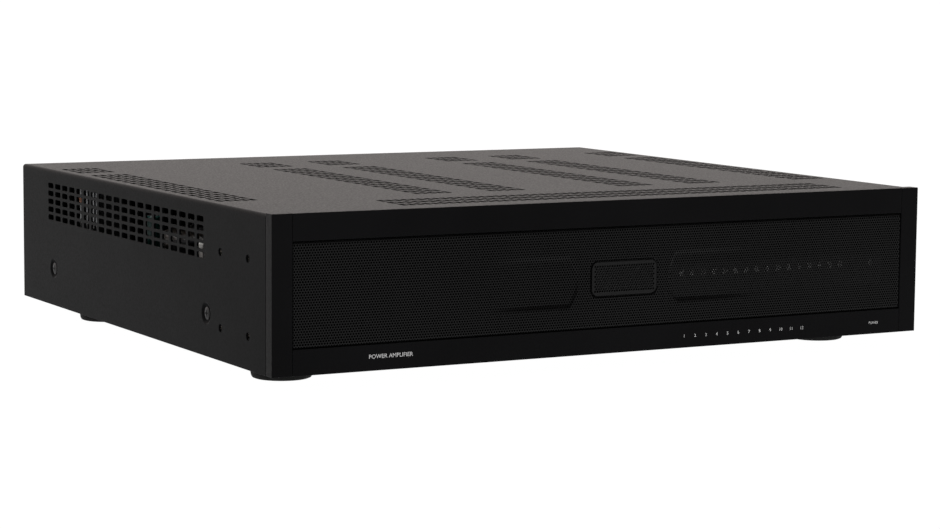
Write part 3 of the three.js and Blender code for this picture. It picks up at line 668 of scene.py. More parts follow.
def make_grille():
    """The perforated mesh, in two halves that meet on a zigzag between the holes in the middle."""
    half_u = GRILLE_HALF - ROLL + ROLL_ARC + LIP
    half_v = GRILLE_HALF_Z - ROLL + ROLL_ARC + LIP
    seam = []
    for row in range(MESH_ROWS):
        v = ROW_PITCH * (row - (MESH_ROWS - 1) / 2)
        seam += [(row_offset(row), v - ROW_PITCH / 2), (row_offset(row), v + ROW_PITCH / 2)]
    seam[0] = (seam[0][0], -half_v)
    seam[-1] = (seam[-1][0], half_v)
    for word, side in SIDES.items():
        edge = [(side * half_u, half_v), (side * half_u, -half_v)]
        holes = [mesh_hole(u, v) for row, u, v in mesh_spots(MESH_ROWS, MESH_COLUMNS)
                 if (u - row_offset(row)) * side > 0 and abs(u) < half_u - MESH_RIM]
        shape = pierced(seam + edge, holes, MESH_THICK, place_grille)
        replaces = ["front_grille"] if side < 0 else []
        piece(f"front_grille_{word}", [(shape, GRILLE_PAINT)], replaces=replaces, sharp=30)


def make_badge():
    """A blank plaque, perforated like the mesh inside a plain rim, on a solid backing."""
    front, back = BADGE[1]
    holes = [mesh_hole(BADGE_X + u, BADGE_Z + v) for row, u, v in mesh_spots(11, 25)
             if abs(u) < BADGE_HALF_X - BADGE_RIM and abs(v) < BADGE_HALF_Z - BADGE_RIM]
    outline = rounded(BADGE[0], BADGE[2], BADGE_CORNER, 8)
    plate = pierced(outline, holes, back - front, flat_front(front), 0.1)
    xs, zs = ((limits[0] + 3, limits[1] - 3) for limits in (BADGE[0], BADGE[2]))
    backing = block(xs, (back - 0.2, back + 0.15), zs, 0.05, 1)
    detail("badge_plate", [(plate, GRILLE_PAINT), (backing, BADGE_PAINT)], "badge_paint")


def make_shade_sheet():
    """The dark foam sheet behind the frame, put there to black out what shows through the mesh: painted
    shade.
    It has a cut-out that the lamp ribbon passes.
    """
    xs, ys, zs = span("air_filter")
    cut_out = rounded((88.5, 106.5), (29.5, 36.5), 1)
    sheet = pierced(rounded(xs, zs, 1), [cut_out], ys[1] - ys[0], flat_front(ys[0]), 0.3)
    detail("air_filter", [(sheet, SHADE_FOAM)], "filter_foam")


def make_lamps():
    """The lamp board, with a white base and a clear dome at each lamp."""
    xs, ys, zs = span("lamp_board")
    board_front = ys[1] - 1.6
    parts = [(block(xs, (board_front, ys[1]), zs, 0.15, 1), BLACK_PLASTIC)]
    dome = [(0, -1.0), (0.5, -0.93), (0.9, -0.65), (1.1, -0.2), (1.1, 0.3), (0, 0.3)]
    for x in [*LAMP_X, POWER_LAMP_X]:
        parts.append((lathe(dome, "y", (x, LAMP_Z, board_front), 20), LENS))
        base = block(around(x, 3), (board_front - 0.4, board_front + 0.1), around(LAMP_Z, 3), 0.1, 1)
        parts.append((base, WHITE_PLASTIC))
    detail("lamp_board", parts, "circuit_board")


def make_front_print():
    """Channel numbers under the lamps, a word under the power lamp and the kind of unit at the left."""
    words = [(str(i + 1), 1.9, x, PRINT_Z) for i, x in enumerate(LAMP_X[:12])]
    words += [("POWER", 1.5, POWER_LAMP_X + 0.5, PRINT_Z), ("POWER AMPLIFIER", 2.4, -144.5, PRINT_Z + 1)]
    shapes = [lettering(word, height, (x, PRINT_Y, z)) for word, height, x, z in words]
    piece("front_print", coated(INK, *shapes))


# --- Cover ----------------------------------------------------------------------------------------------

TOP_FLAT = COVER_HALF - BEND
BEND_ARC = BEND * math.pi / 2
SIDE_START = TOP_FLAT + BEND_ARC
SLOT_COUNT = 5
FRONT_SLOT_COUNT = 60
SIDE_SLOT_COUNT = 20
SIDE_SLOTS_Y = 97.2
SIDE_SLOTS_Z = 56.8
SIDE_HOLE_RADIUS = 2.3
DISH_RADIUS = 6.4
DISH_FLOOR = 4.3
DISH_DEPTH = 1.3


def side_u(side, z):
    """Where the flat pattern of the cover holds a point of one side."""
    return side * (SIDE_START + COVER_TOP - BEND - z)


def dish_depth(u, v):
    depth = 0
    for side in SIDES.values():
        for y, z in SCREW_SPOTS.values():
            radius = math.hypot(u - side_u(side, z), v - y)
            depth += DISH_DEPTH * (1 - ease(radius, DISH_FLOOR, DISH_RADIUS))
    return depth


def place_cover(u, v, depth):
    """Folds the flat pattern over the two long edges, with a round bend."""
    reach = abs(u)
    if reach <= TOP_FLAT:
        return u, v, COVER_TOP - depth
    if reach <= SIDE_START:
        angle = (reach - TOP_FLAT) / BEND
        radius = BEND - depth
        return (math.copysign(TOP_FLAT + radius * math.sin(angle), u), v,
                COVER_TOP - BEND + radius * math.cos(angle))
    sunk = depth + dish_depth(u, v)
    return math.copysign(COVER_HALF - sunk, u), v, COVER_TOP - BEND - (reach - SIDE_START)


def slot_outline(u, v):
    return rounded(around(u, SLOT_WIDE), around(v, SLOT_LONG), SLOT_CORNER)


def cover_holes():
    """Slots on the top and sides, and the round holes for rack ears and cover screws."""
    holes = []
    for centre in STRIP_CENTRES:
        for first, rows in STRIP_RUNS:
            holes += [slot_outline(centre + PITCH_WIDE * (i - 2), first + PITCH_LONG * j)
                      for i in range(SLOT_COUNT) for j in range(rows)]
    start = FRONT_STRIP_X - PITCH_WIDE * (FRONT_SLOT_COUNT - 1) / 2
    holes += [slot_outline(start + PITCH_WIDE * i, FRONT_STRIP_Y + PITCH_LONG * j)
              for i in range(FRONT_SLOT_COUNT) for j in range(3)]
    for side in SIDES.values():
        holes += [slot_outline(side_u(side, SIDE_SLOTS_Z + SIDE_PITCH_Z * i), SIDE_SLOTS_Y + PITCH_LONG * j)
                  for i in range(SLOT_COUNT) for j in range(SIDE_SLOT_COUNT)]
        holes += [circle((side_u(side, z), y), SIDE_HOLE_RADIUS, 24)
                  for y, z in (*EAR_HOLES, *SCREW_SPOTS.values())]
    return holes


def make_cover():
    v0, v1 = COVER[1]
    half = side_u(1, 0)
    bends = [side * (TOP_FLAT + BEND_ARC * i / 6) for side in (-1, 1) for i in range(-1, 8)]
    across = sorted([-half, half, *bends])
    outer = [(u, v0) for u in across] + [(u, v1) for u in reversed(across)]
    creases = [[(u, v0), (u, v1)] for u in bends]
    rings = [circle((side_u(side, z), y), radius, 40)
             for side in SIDES.values() for y, z in SCREW_SPOTS.values()
             for radius in (DISH_FLOOR, 4.7, 5.1, 5.5, 5.9, DISH_RADIUS, 6.9)]
    shape = pierced(outer, cover_holes(), SHEET, place_cover, 0.12, creases, rings)
    detail("top_cover", [(shape, COVER_PAINT)], "cover_paint", sharp=30)


def cross_outline(arm, width):
    """A plus sign, counter-clockwise."""
    half = width / 2
    quarter = [(arm, -half), (arm, half), (half, half)]
    outline = []
    for turn in range(4):
        c, s = round(math.cos(turn * math.pi / 2)), round(math.sin(turn * math.pi / 2))
        outline += [(u * c - v * s, u * s + v * c) for u, v in quarter]
    return outline


def screw_head(radius, height, recess, matrix):
    """A domed head with a cross recess. It is drawn facing up, with its seat at z = 0."""
    def dome(u, v, depth):
        return u, v, height * (1 - 0.45 * (u * u + v * v) / radius ** 2) - depth

    rings = [circle((0, 0), radius * share, 36) for share in (0.75, 0.9)]
    cap = pierced(circle((0, 0), radius, 36), [cross_outline(radius * 0.52, radius * 0.17)], recess, dome,
                0.06, rings=rings)
    profile = [(0, 0), (radius, 0), (radius, height * 0.5), (radius * 0.6, height * 0.4), (0, height * 0.3)]
    skirt = lathe(profile, "z", (0, 0, 0), 36)
    return [moved(shape, matrix) for shape in (cap, skirt)]


def make_cover_screws():
    for word, side in SIDES.items():
        turn = Matrix.Rotation(side * math.pi / 2, 4, "Y")
        for end, (y, z) in SCREW_SPOTS.items():
            seat = Matrix.Translation((side * (COVER_HALF - DISH_DEPTH), y, z)) @ turn
            heads = screw_head(3.7, 1.15, 0.6, seat)
            detail(f"cover_screw_{word}_{end}", coated(SCREW_PAINT, *heads), "black_screw")


def make_nut_plates():
    """The tapped plates, with a nickel insert behind each hole."""
    for word, side in SIDES.items():
        name = f"rack_nut_plate_{word}"
        xs, ys, zs = span(name)
        outer = max(abs(x) for x in xs)
        holes = [circle(spot, 2.1, 24) for spot in EAR_HOLES]
        plate = pierced(rounded(ys, zs, 2), holes, 2, flat_side(side, outer), 0.1)
        parts = [(plate, ZINC)]
        insert = [(1.75, 0), (2.1, 0.25), (2.1, 2.0), (1.75, 2.0)]
        for y, z in EAR_HOLES:
            thread = lathe(insert, "x", (y, z, 0), 24)
            place = Matrix.Translation((side * (outer + 0.5), 0, 0)) @ Matrix.Diagonal((-side, 1, 1, 1))
            parts.append((moved(thread, place), NICKEL))
        detail(name, parts, "zinc_steel")


FOOT_WELL = [(0, 2.5), (4.6, 2.5), (5, 2.1), (5, 0.5), (5.4, 0)]
FOOT_WALL = [(15.6, 0), (16.6, 0.4), (17.2, 1.4), (17.5, 3.0), (17.6, 8.2), (17.5, 8.9), (17.0, 9.2),
             (0, 9.2)]


def make_feet():
    """Rubber discs with a rounded lower rim, and the screw that holds each up in its well."""
    for word in SIDES:
        for end in ("front", "rear"):
            name = f"foot_{word}_{end}"
            xs, ys, zs = span(name)
            centre = (middle(xs), middle(ys), zs[0])
            body = lathe(FOOT_WELL + FOOT_WALL, "z", centre, 72)
            down = Matrix.Translation((centre[0], centre[1], zs[0] + 2.6)) @ Matrix.Rotation(math.pi, 4, "X")
            parts = [(body, RUBBER)] + coated(ZINC, *screw_head(3.4, 1.6, 0.9, down))
            detail(name, parts, "rubber")


# --- Rear -----------------------------------------------------------------------------------------------

REAR_HALF = span("rear_panel")[0][1]
REAR_TOP = span("rear_panel")[2][1]
REAR_SHEET = 1.5
BEHIND_REAR = REAR_FACE - REAR_SHEET - 0.3
INLET = span("power_inlet")
INLET_X = middle(INLET[0])
INLET_MOUTH = INLET[1][1]
FUSE = span("fuse_drawer")
ROCKER_X = middle(span("rocker_housing")[0])
ROCKER_Z = middle(span("rocker_housing")[2])
ROCKER_PIVOT_Y = 392
ROCKER_TILT = -8
FAN = span("fan_frame")
FAN_X, FAN_Z = middle(FAN[0]), middle(FAN[2])
FAN_HUB = 13
FAN_REACH = 26.3
BLADE_COUNT = 7
FAN_CORNERS = [(FAN_X + dx, FAN_Z + dz) for dx in (-25, 25) for dz in (-25, 25)]
MODE = span("mode_switch_housing")
TRIGGER_Z = middle(span("trigger_jack")[2])
GROUND_Z = middle(span("ground_post")[2])
JACK_X = -8
JACK_Z = {"left": 68, "right": 50}
JACK_TIP = span("input_jack_block")[1][1]
KNOB_X = 9
KNOB_Z = middle(span("level_knob_1")[2])
KNOB_TIP = span("level_knob_1")[1][1]
PLUG = span("speaker_plug_1")
PLUG_Z = middle(PLUG[2])
PLUG_HALF = (PLUG[0][1] - PLUG[0][0]) / 2
PLUG_SHOULDER = REAR_FACE + 0.6
WAYS = [5.08 * (i - 1.5) for i in range(4)]


def toward_rear(x, y, z):
    """Puts a shape drawn facing up at a place on the back, facing out."""
    return Matrix.Translation((x, y, z)) @ Matrix.Rotation(-math.pi / 2, 4, "X")


def fan_slots():
    slots = []
    for offset in (-21, -14, -7, 0, 7, 14, 21):
        reach = math.sqrt(27 ** 2 - offset ** 2)
        for us in ((FAN_X - reach, FAN_X - 3), (FAN_X + 3, FAN_X + reach)):
            slots.append(rounded(us, around(FAN_Z + offset, 4), 1.9, 5))
    return slots


def make_rear_panel():
    holes = [
        rounded(around(INLET_X, 28), (23, 61), 1.5),
        rounded(around(ROCKER_X, 13.2), around(ROCKER_Z, 19.5), 0.8),
        rounded(around(SERVICE_X, 9), around(middle(MODE[2]), 5), 0.5),
        circle((SERVICE_X, TRIGGER_Z), 4.3, 40),
        circle((SERVICE_X, GROUND_Z), 2.4, 24),
        *fan_slots(),
    ]
    for x in ZONES:
        holes += [circle((x + JACK_X, z), 4.7, 40) for z in JACK_Z.values()]
        holes.append(circle((x + KNOB_X, KNOB_Z), 3.5, 32))
        holes.append(rounded(around(x, 21.4), around(PLUG_Z, 9.6), 0.8))
    outline = rounded((-REAR_HALF, REAR_HALF), (0, REAR_TOP), 1)
    panel = pierced(outline, holes, REAR_SHEET, flat_rear(REAR_FACE), 0.15)
    parts = [(panel, REAR_PAINT)]
    spots = FAN_CORNERS + [(x + 19.5, z) for x in ZONES for z in (34, 78)]
    spots += [(side * 208, z) for side in (-1, 1) for z in (9, 78)]
    for x, z in spots:
        parts += coated(BLACK_ZINC, *screw_head(2.6, 1.0, 0.5, toward_rear(x, REAR_FACE, z)))
    detail("rear_panel", parts, "cover_paint")


def make_rear_print():
    """Plain zone numbers and words, and the scale round each level knob."""
    y = REAR_FACE + 0.01
    words = [
        ("AC IN", INLET_X, 15.5, 2.4),
        ("POWER", ROCKER_X, 59, 2.4),
        ("AUTO", SERVICE_X + 8, 70.5, 1.9),
        ("ON", SERVICE_X - 8, 70.5, 1.9),
        ("TRIGGER", SERVICE_X, 51.5, 1.9),
        ("GROUND", SERVICE_X, 13.5, 1.9),
    ]
    for number, x in enumerate(ZONES, 1):
        words += [(f"ZONE {number}", x, 82, 2.6), ("LEVEL", x + KNOB_X, 47.5, 1.7), ("SPEAKERS", x, 34, 1.7)]
        words += [(side[0].upper(), x + JACK_X - 6.8, z, 2.0) for side, z in JACK_Z.items()]
        words += [(sign, x + way, 12.2, 2.0) for sign, way in zip("+-+-", reversed(WAYS))]
    parts = [(lettering(word, height, (x, y, z), "rear"), INK) for word, x, z, height in words]
    tick = block((-0.2, 0.2), (-0.02, 0.02), (7.4, 8.6), 0.01, 1)
    for x in ZONES:
        for step in range(-5, 6):
            turn = Matrix.Rotation(math.radians(30 * step), 4, "Y")
            parts.append((moved(tick, Matrix.Translation((x + KNOB_X, y, KNOB_Z)) @ turn), INK))
    piece("rear_print", parts)


def make_inlet():
    """The mains inlet: a socket with cut upper corners and three blades, over the fuse drawer's pocket."""
    top, bottom, half, cut = 57, 40, 12, 4
    cavity = [(INLET_X - half, bottom), (INLET_X + half, bottom), (INLET_X + half, top - cut),
              (INLET_X + half - cut, top), (INLET_X - half + cut, top), (INLET_X - half, top - cut)]
    pocket = rounded(around(INLET_X, 20.4), (25.8, 36.2), 0.6)
    body_xs = around(INLET_X, 27.4)
    body_zs = (23.3, 60.7)
    floor = INLET_MOUTH - 16
    flange = pierced(rounded(*INLET[::2], 2.5), [cavity, pocket], 3, flat_rear(INLET_MOUTH), 0.35)
    sleeve = pierced(rounded(body_xs, body_zs, 1), [cavity, pocket], 13, flat_rear(INLET_MOUTH - 2.9))
    back = block(body_xs, (INLET[1][0], floor), body_zs, 0.5)
    parts = coated(BLACK_PLASTIC, flange, sleeve, back)
    for x, z in ((-7, 47.4), (7, 47.4), (0, 52)):
        outline = rounded(around(INLET_X + x, 2), around(z, 4), 0.4)
        parts.append((prism(outline, "y", floor - 0.4, INLET_MOUTH - 3, 0.6, 3), NICKEL))
    detail("power_inlet", parts, "black_plastic")


def make_fuse_drawer():
    tray = block(around(INLET_X, 19.4), (FUSE[1][0], INLET_MOUTH + 0.4), (26.3, 35.7), 0.4)
    lip = prism(rounded(*FUSE[::2], 1.6), "y", INLET_MOUTH + 0.3, FUSE[1][1], 0.5, 3)
    ridges = [block(around(INLET_X, 8), (FUSE[1][1] - 0.3, FUSE[1][1] + 0.4), around(z, 0.6), 0.15)
              for z in (28, 29.2, 30.4)]
    word = lettering("FUSE", 1.6, (INLET_X, FUSE[1][1] + 0.01, 33.6), "rear")
    parts = coated(BLACK_PLASTIC, tray, lip, *ridges) + [(word, INK)]
    detail("fuse_drawer", parts, "black_plastic", "fuse_drawer")


def make_rocker():
    well = rounded(around(ROCKER_X, 11.2), around(ROCKER_Z, 17.2), 0.8)
    mouth = span("rocker_housing")[1][1]
    frame_shape = pierced(rounded(*span("rocker_housing")[::2], 1.6), [well], 1.7, flat_rear(mouth), 0.4)
    sleeve = pierced(rounded(around(ROCKER_X, 12.6), around(ROCKER_Z, 18.9), 0.6), [well], 12,
                     flat_rear(mouth - 1.6))
    back = block(around(ROCKER_X, 12.6), (376, mouth - 13.6), around(ROCKER_Z, 18.9), 0.5)
    detail("rocker_housing", coated(BLACK_PLASTIC, frame_shape, sleeve, back), "black_plastic")

    half, least, rise = 7, 5.6, 1.9

    def face(t):
        return least + rise * (t / half) ** 2

    outline = [(-2, half), (-2, -half)] + [(face(t), t) for t in [half * (i / 8 - 1) for i in range(17)]]
    cap = prism(outline, "x", -5.2, 5.2, 0.5, 3)
    seat = Matrix.Translation((ROCKER_X, ROCKER_PIVOT_Y, ROCKER_Z)) @ Matrix.Rotation(
        math.radians(ROCKER_TILT), 4, "X")
    parts = [(moved(cap, seat), BLACK_PLASTIC)]
    for sign, t in (("I", 4), ("O", -4)):
        lean = Matrix.Rotation(-math.atan(2 * rise * t / half ** 2), 4, "X")
        mark = lettering(sign, 2.8, (0, 0, 0), "rear", 0.06)
        parts.append((moved(mark, seat @ Matrix.Translation((0, face(t) + 0.02, t)) @ lean), INK))
    detail("power_rocker", parts, "black_plastic", "power_rocker")


def fan_blade(turn):
    sections = []
    for i in range(8):
        share = i / 7
        radius = FAN_HUB - 0.6 + share * (FAN_REACH - FAN_HUB + 0.6)
        pitch = math.radians(50 - 18 * share)
        chord = 9 + 3.5 * share
        ring = []
        for j in range(12):
            angle = 2 * math.pi * j / 12
            along = chord / 2 * math.cos(angle)
            across = 0.6 * math.sin(angle) + 0.9 * (1 - (2 * along / chord) ** 2)
            sideways = along * math.cos(pitch) - across * math.sin(pitch)
            axial = along * math.sin(pitch) + across * math.cos(pitch)
            place = turn + math.radians(22) * share ** 2 + sideways / radius
            ring.append((radius * math.cos(place), axial, radius * math.sin(place)))
        sections.append(ring)
    return loft(sections)


def make_fan():
    holes = [circle((FAN_X, FAN_Z), 28, 72)]
    holes += [circle(corner, 2.2, 20) for corner in FAN_CORNERS]
    low, high = FAN[1]
    shell = pierced(rounded(*FAN[::2], 3.5, 5), holes, high - low, flat_rear(high), 0.4)
    mount = lathe([(0, 0), (12.4, 0), (13, 0.5), (13, 2), (0, 2)], "y", (FAN_X, FAN_Z, low), 48)
    parts = [(shell, BLACK_PLASTIC), (mount, BLACK_PLASTIC)]
    bar = block((-29, -12), (low, low + 2), (-1.5, 1.5), 0.4)
    for quarter in range(4):
        turn = Matrix.Rotation(math.pi / 4 + quarter * math.pi / 2, 4, "Y")
        parts.append((moved(bar, Matrix.Translation((FAN_X, 0, FAN_Z)) @ turn), BLACK_PLASTIC))
    # A dark foam disc over the fan's opening keeps light from the rear slots out of the inside: painted
    # shade.
    shade_disc = [(0, -1.6), (29, -1.6), (29.5, -1.1), (29.5, -0.1), (0, -0.1)]
    parts.append((lathe(shade_disc, "y", (FAN_X, FAN_Z, low), 48), SHADE_FOAM))
    detail("fan_frame", parts, "black_plastic")

    centre = middle(span("fan_rotor")[1])
    hub = [(0, -4.6), (FAN_HUB - 0.8, -4.6), (FAN_HUB, -4), (FAN_HUB, 3.4), (FAN_HUB - 0.4, 4.2),
           (FAN_HUB - 1.2, 4.6), (0, 4.6)]
    label = [(0, 4.5), (9.5, 4.5), (9.5, 4.68), (0, 4.68)]
    place = Matrix.Translation((FAN_X, centre, FAN_Z))
    parts = [(lathe(hub, "y", (FAN_X, FAN_Z, centre), 48), BLACK_PLASTIC),
             (lathe(label, "y", (FAN_X, FAN_Z, centre), 40), GREY_PLASTIC)]
    for i in range(BLADE_COUNT):
        parts.append((moved(fan_blade(2 * math.pi * i / BLADE_COUNT), place), BLACK_PLASTIC))
    detail("fan_rotor", parts, "black_plastic", "fan_rotor")


def make_service_column():
    xs, ys, zs = MODE
    well = rounded(around(SERVICE_X, 8.4), around(middle(zs), 4.4), 0.2)
    front = pierced(rounded(xs, zs, 0.5), [well], 7, flat_rear(ys[1]), 0.1)
    back = block(xs, (ys[0], ys[1] - 6.9), zs, 0.3)
    piece("mode_switch_detail", coated(BLACK_PLASTIC, front, back),
          replaces=["mode_switch_housing"])

    xs, ys, zs = span("mode_slider")
    parts = [(block(xs, ys, zs, 0.3, 3), GREY_PLASTIC)]
    parts += [(block(around(middle(xs) + dx, 0.4), (ys[1] - 0.4, ys[1] + 0.25), zs, 0.1), GREY_PLASTIC)
              for dx in (-1, 0, 1)]
    detail("mode_slider", parts, "black_plastic", "mode_slider")

    xs, ys, zs = span("trigger_jack")
    body = pierced(rounded(xs, zs, 0.5), [circle((SERVICE_X, TRIGGER_Z), 1.8, 24)], BEHIND_REAR - ys[0],
                   flat_rear(BEHIND_REAR), 0.2)
    barrel = lathe([(1.8, -4.5), (3.9, -4.5), (3.9, -0.4), (3.5, 0), (2.9, 0), (2.7, -0.3), (1.8, -0.3)], "y",
                   (SERVICE_X, TRIGGER_Z, ys[1]), 40)
    ring = lathe([(1.8, -3), (2.7, -3), (2.7, -0.2), (2.4, 0.05), (1.9, 0.05), (1.8, -0.1)], "y",
                 (SERVICE_X, TRIGGER_Z, ys[1]), 40)
    detail("trigger_jack", coated(BLACK_PLASTIC, body, barrel) + [(ring, NICKEL)], "black_plastic")


def knurled(radius, teeth, depth):
    return [(radius * math.cos(a) * (1 - depth * (i % 2)), radius * math.sin(a) * (1 - depth * (i % 2)))
            for i, a in enumerate(math.pi * i / teeth for i in range(2 * teeth))]


def make_ground_post():
    low, high = span("ground_post")[1]
    thread = [(0, 0)]
    steps = int((high - low - 1) / 0.35)
    thread += [(2 if i % 2 else 1.8, 0.35 * i) for i in range(steps)]
    thread += [(1.6, high - low), (0, high - low)]
    stud = lathe(thread, "y", (SERVICE_X, GROUND_Z, low), 28)
    nut = prism([(SERVICE_X + u, GROUND_Z + v) for u, v in knurled(5, 30, 0.05)], "y", REAR_FACE + 1.3,
                REAR_FACE + 8, 0.4)
    ring = [(2.1, 0.3), (4.9, 0.3), (4.9, 1.2), (2.1, 1.2)]
    washer = lathe(ring, "y", (SERVICE_X, GROUND_Z, REAR_FACE), 32)
    detail("ground_post", coated(NICKEL, stud, nut, washer), "zinc_steel")


def phono_jack(x, z, colour):
    """A plated shell round a coloured insulator with a sprung contact, on a black collar."""
    centre = (x, z, REAR_FACE)
    reach = JACK_TIP - REAR_FACE
    collar = [(4.0, 0.1), (5.7, 0.1), (5.9, 0.4), (5.9, 1.1), (5.5, 1.6), (4.1, 1.6)]
    shell = [(3.3, -3), (4.2, -3), (4.2, reach - 0.4), (3.9, reach), (3.5, reach), (3.3, reach - 0.3)]
    core = [(1.7, -3), (3.4, -3), (3.4, reach - 1.0), (3.1, reach - 0.7), (1.9, reach - 0.7),
            (1.7, reach - 0.9)]
    contact = [(1.35, -2.9), (1.72, -2.9), (1.72, reach - 0.7), (1.35, reach - 0.8)]
    floor = [(0, -3), (1.8, -3), (1.8, -2.5), (0, -2.5)]
    turned = ((collar, 40, BLACK_PLASTIC), (shell, 40, NICKEL), (core, 32, colour), (contact, 24, GOLD),
              (floor, 24, BLACK_PLASTIC))
    return [(lathe(profile, "y", centre, count), material) for profile, count, material in turned]


def make_input_jacks():
    xs, ys, zs = span("input_jack_block")
    holes = [circle((x + KNOB_X, KNOB_Z), 3.7, 24) for x in ZONES]
    parts = [(pierced(rounded(xs, zs, 0.8), holes, BEHIND_REAR - ys[0], flat_rear(BEHIND_REAR), 0.2),
              BLACK_PLASTIC)]
    for x in ZONES:
        parts += phono_jack(x + JACK_X, JACK_Z["left"], WHITE_PLASTIC)
        parts += phono_jack(x + JACK_X, JACK_Z["right"], RED_PLASTIC)
    piece("input_jacks", parts, replaces=["input_jack_block"])


def make_knobs():
    for number, zone_x in enumerate(ZONES, 1):
        x = zone_x + KNOB_X
        centre = (x, KNOB_Z, REAR_FACE)
        grip = [(x + u, KNOB_Z + v) for u, v in knurled(6.0, 22, 0.045)]
        skirt = [(2.9, 0.6), (6.2, 0.6), (6.2, 1.8), (5.6, 2.4), (2.9, 2.4)]
        cap = [(0, 10.6), (5.6, 10.6), (5.7, 11.2), (5.2, 11.8), (4.4, 12), (0, 11.7)]
        shaft = [(0, -15.8), (2.6, -15.8), (2.9, -15.4), (2.9, 1), (0, 1)]
        line = block(around(x, 0.9), (KNOB_TIP - 0.6, KNOB_TIP + 0.04), around(KNOB_Z + 3.2, 4), 0.12)
        parts = [
            (lathe(skirt, "y", centre, 48), BLACK_PLASTIC),
            (prism(grip, "y", REAR_FACE + 2.0, REAR_FACE + 11.0, 0.35), BLACK_PLASTIC),
            (lathe(cap, "y", centre, 48), BLACK_PLASTIC),
            (lathe(shaft, "y", centre, 32), ZINC),
            (line, INK),
        ]
        name = f"level_knob_{number}"
        detail(name, parts, "black_plastic", name)


def make_speaker_header():
    xs, ys, zs = span("speaker_header")
    wells = [rounded(around(x, 21), around(PLUG_Z, 9.2), 0.3) for x in ZONES]
    front = pierced(rounded(xs, zs, 0.5), wells, 8.4, flat_rear(BEHIND_REAR), 0.2)
    back = block(xs, (ys[0], BEHIND_REAR - 8.4), zs, 0.3)
    detail("speaker_header", coated(GREEN_PLASTIC, front, back), "green_plastic")


def make_speaker_plugs():
    """Plug-in terminals: four wire mouths at the back, and four clamp screws on top."""
    slot_turn = Matrix.Rotation(math.radians(20), 4, "Z")
    for number, x in enumerate(ZONES, 1):
        shoulder, tip = PLUG_SHOULDER, PLUG[1][1]
        low, high = PLUG[2]
        xs = (x - PLUG_HALF, x + PLUG_HALF)
        entries = [rounded(around(x + way, 3.2), around(PLUG_Z - 1.5, 3.2), 0.3) for way in WAYS]
        wells = [circle((x + way, shoulder + 5), 1.9, 24) for way in WAYS]
        corners = [(xs[0], shoulder), (xs[1], shoulder), (xs[1], tip), (xs[0], tip)]
        lid = pierced(corners, wells, 1.6, flat_top(high), 0.2)
        mouth = pierced(rounded(xs, (low, high - 1.5), 0.3), entries, 6, flat_rear(tip), 0.25)
        parts = [(shape, GREEN_PLASTIC) for shape in (
            lid, mouth,
            block(xs, (shoulder, tip - 5.9), (low, high - 1.5), 0.3),
            block(xs, (PLUG[1][0], shoulder + 0.3), around(PLUG_Z, 8.4), 0.4))]
        for way in WAYS:
            head = lathe([(0, 0), (1.75, 0), (1.75, 0.7), (1.5, 0.9), (0, 0.9)], "z",
                         (x + way, shoulder + 5, high - 1.6), 24)
            parts.append((head, NICKEL))
            cut = block((-1.5, 1.5), (-0.2, 0.2), (0.8, 0.95), 0.03, 1)
            place = Matrix.Translation((x + way, shoulder + 5, high - 1.6)) @ slot_turn
            parts.append((moved(cut, place), BLACK_PLASTIC))
            plate = block(around(x + way, 2.8), (tip - 4.5, tip - 3.5), around(PLUG_Z - 1.5, 2.8), 0.2)
            parts.append((plate, NICKEL))
        name = f"speaker_plug_{number}"
        detail(name, parts, "green_plastic", name)


# --- Inside ---------------------------------------------------------------------------------------------

BOARD_TOP = span("power_supply_board")[2][1]
BANK_STEP = 80


def can(x, y, radius, height, sleeve, cap=None):
    """An electrolytic capacitor standing on a board, with a rolled groove and a bare top."""
    centre = (x, y, BOARD_TOP)
    body = [(0, 0.3), (radius - 0.6, 0.3), (radius, 0.9), (radius, 2.6), (radius - 0.7, 3.4), (radius, 4.2),
            (radius, height - 0.8), (radius - 0.8, height), (0, height - 0.1)]
    top = [(0, height - 0.2), (radius * 0.8, height - 0.2), (radius * 0.8, height + 0.05), (0, height + 0.05)]
    return [(lathe(body, "z", centre, 40), sleeve), (lathe(top, "z", centre, 40), cap or ALUMINIUM)]


def make_capacitors():
    for name, sleeve, slot in (("bulk_capacitor_1", BLACK_SLEEVE, "black_sleeve"),
                               ("bulk_capacitor_2", TEAL_SLEEVE, "teal_sleeve")):
        xs, ys, zs = span(name)
        parts = can(middle(xs), middle(ys), (xs[1] - xs[0]) / 2, zs[1] - BOARD_TOP, sleeve, BLACK_SLEEVE)
        detail(name, parts, slot)


def make_transformer():
    xs, ys, zs = span("power_transformer")
    x, y = middle(xs), middle(ys)
    outer, inner, (low, high) = (xs[1] - xs[0]) / 2, 14, zs
    lower = [(inner, 3), (inner + 3, 0), (outer - 8, 0), (outer - 2.5, 2.5), (outer, 8)]
    profile = [(radius, low + rise) for radius, rise in lower]
    profile += [(radius, high - rise) for radius, rise in reversed(lower)]
    points, faces = lathe(profile, "z", (0, 0, 0), 240)
    wound = []
    for i, (px, py, pz) in enumerate(points):
        ridge = 1 if i % 2 else 0.994
        wound.append((x + px * ridge, y + py * ridge, pz))
    detail("power_transformer", [((wound, faces), TAPE)], "winding_tape", sharp=60)
    seat = span("transformer_clamp")[2][1] - 6
    dish = [(0, 0.6), (9, 0.6), (12, 0), (19.4, 0), (20, 0.5), (20, 1.4), (19.4, 2), (12.4, 2),
            (9.4, 2.6), (0, 2.6)]
    bolt = [(0, -48), (3, -48), (3, 5.6), (2.6, 6), (0, 6)]
    nut = circle((x, y), 5, 6)
    parts = [
        (lathe(dish, "z", (x, y, seat), 48), BLACK_ZINC),
        (lathe(bolt, "z", (x, y, seat), 24), ZINC),
        (prism(nut, "z", seat + 2.5, seat + 5.2, 0.3), BLACK_ZINC),
    ]
    detail("transformer_clamp", parts, "zinc_steel")


def board_plate(name):
    xs, ys, zs = span(name)
    return block(xs, ys, (zs[0], BOARD_TOP), 0.1, 1)


def on_board(xs, ys, height, edge, segments=2):
    return block(xs, ys, (BOARD_TOP, BOARD_TOP + height), edge, segments)


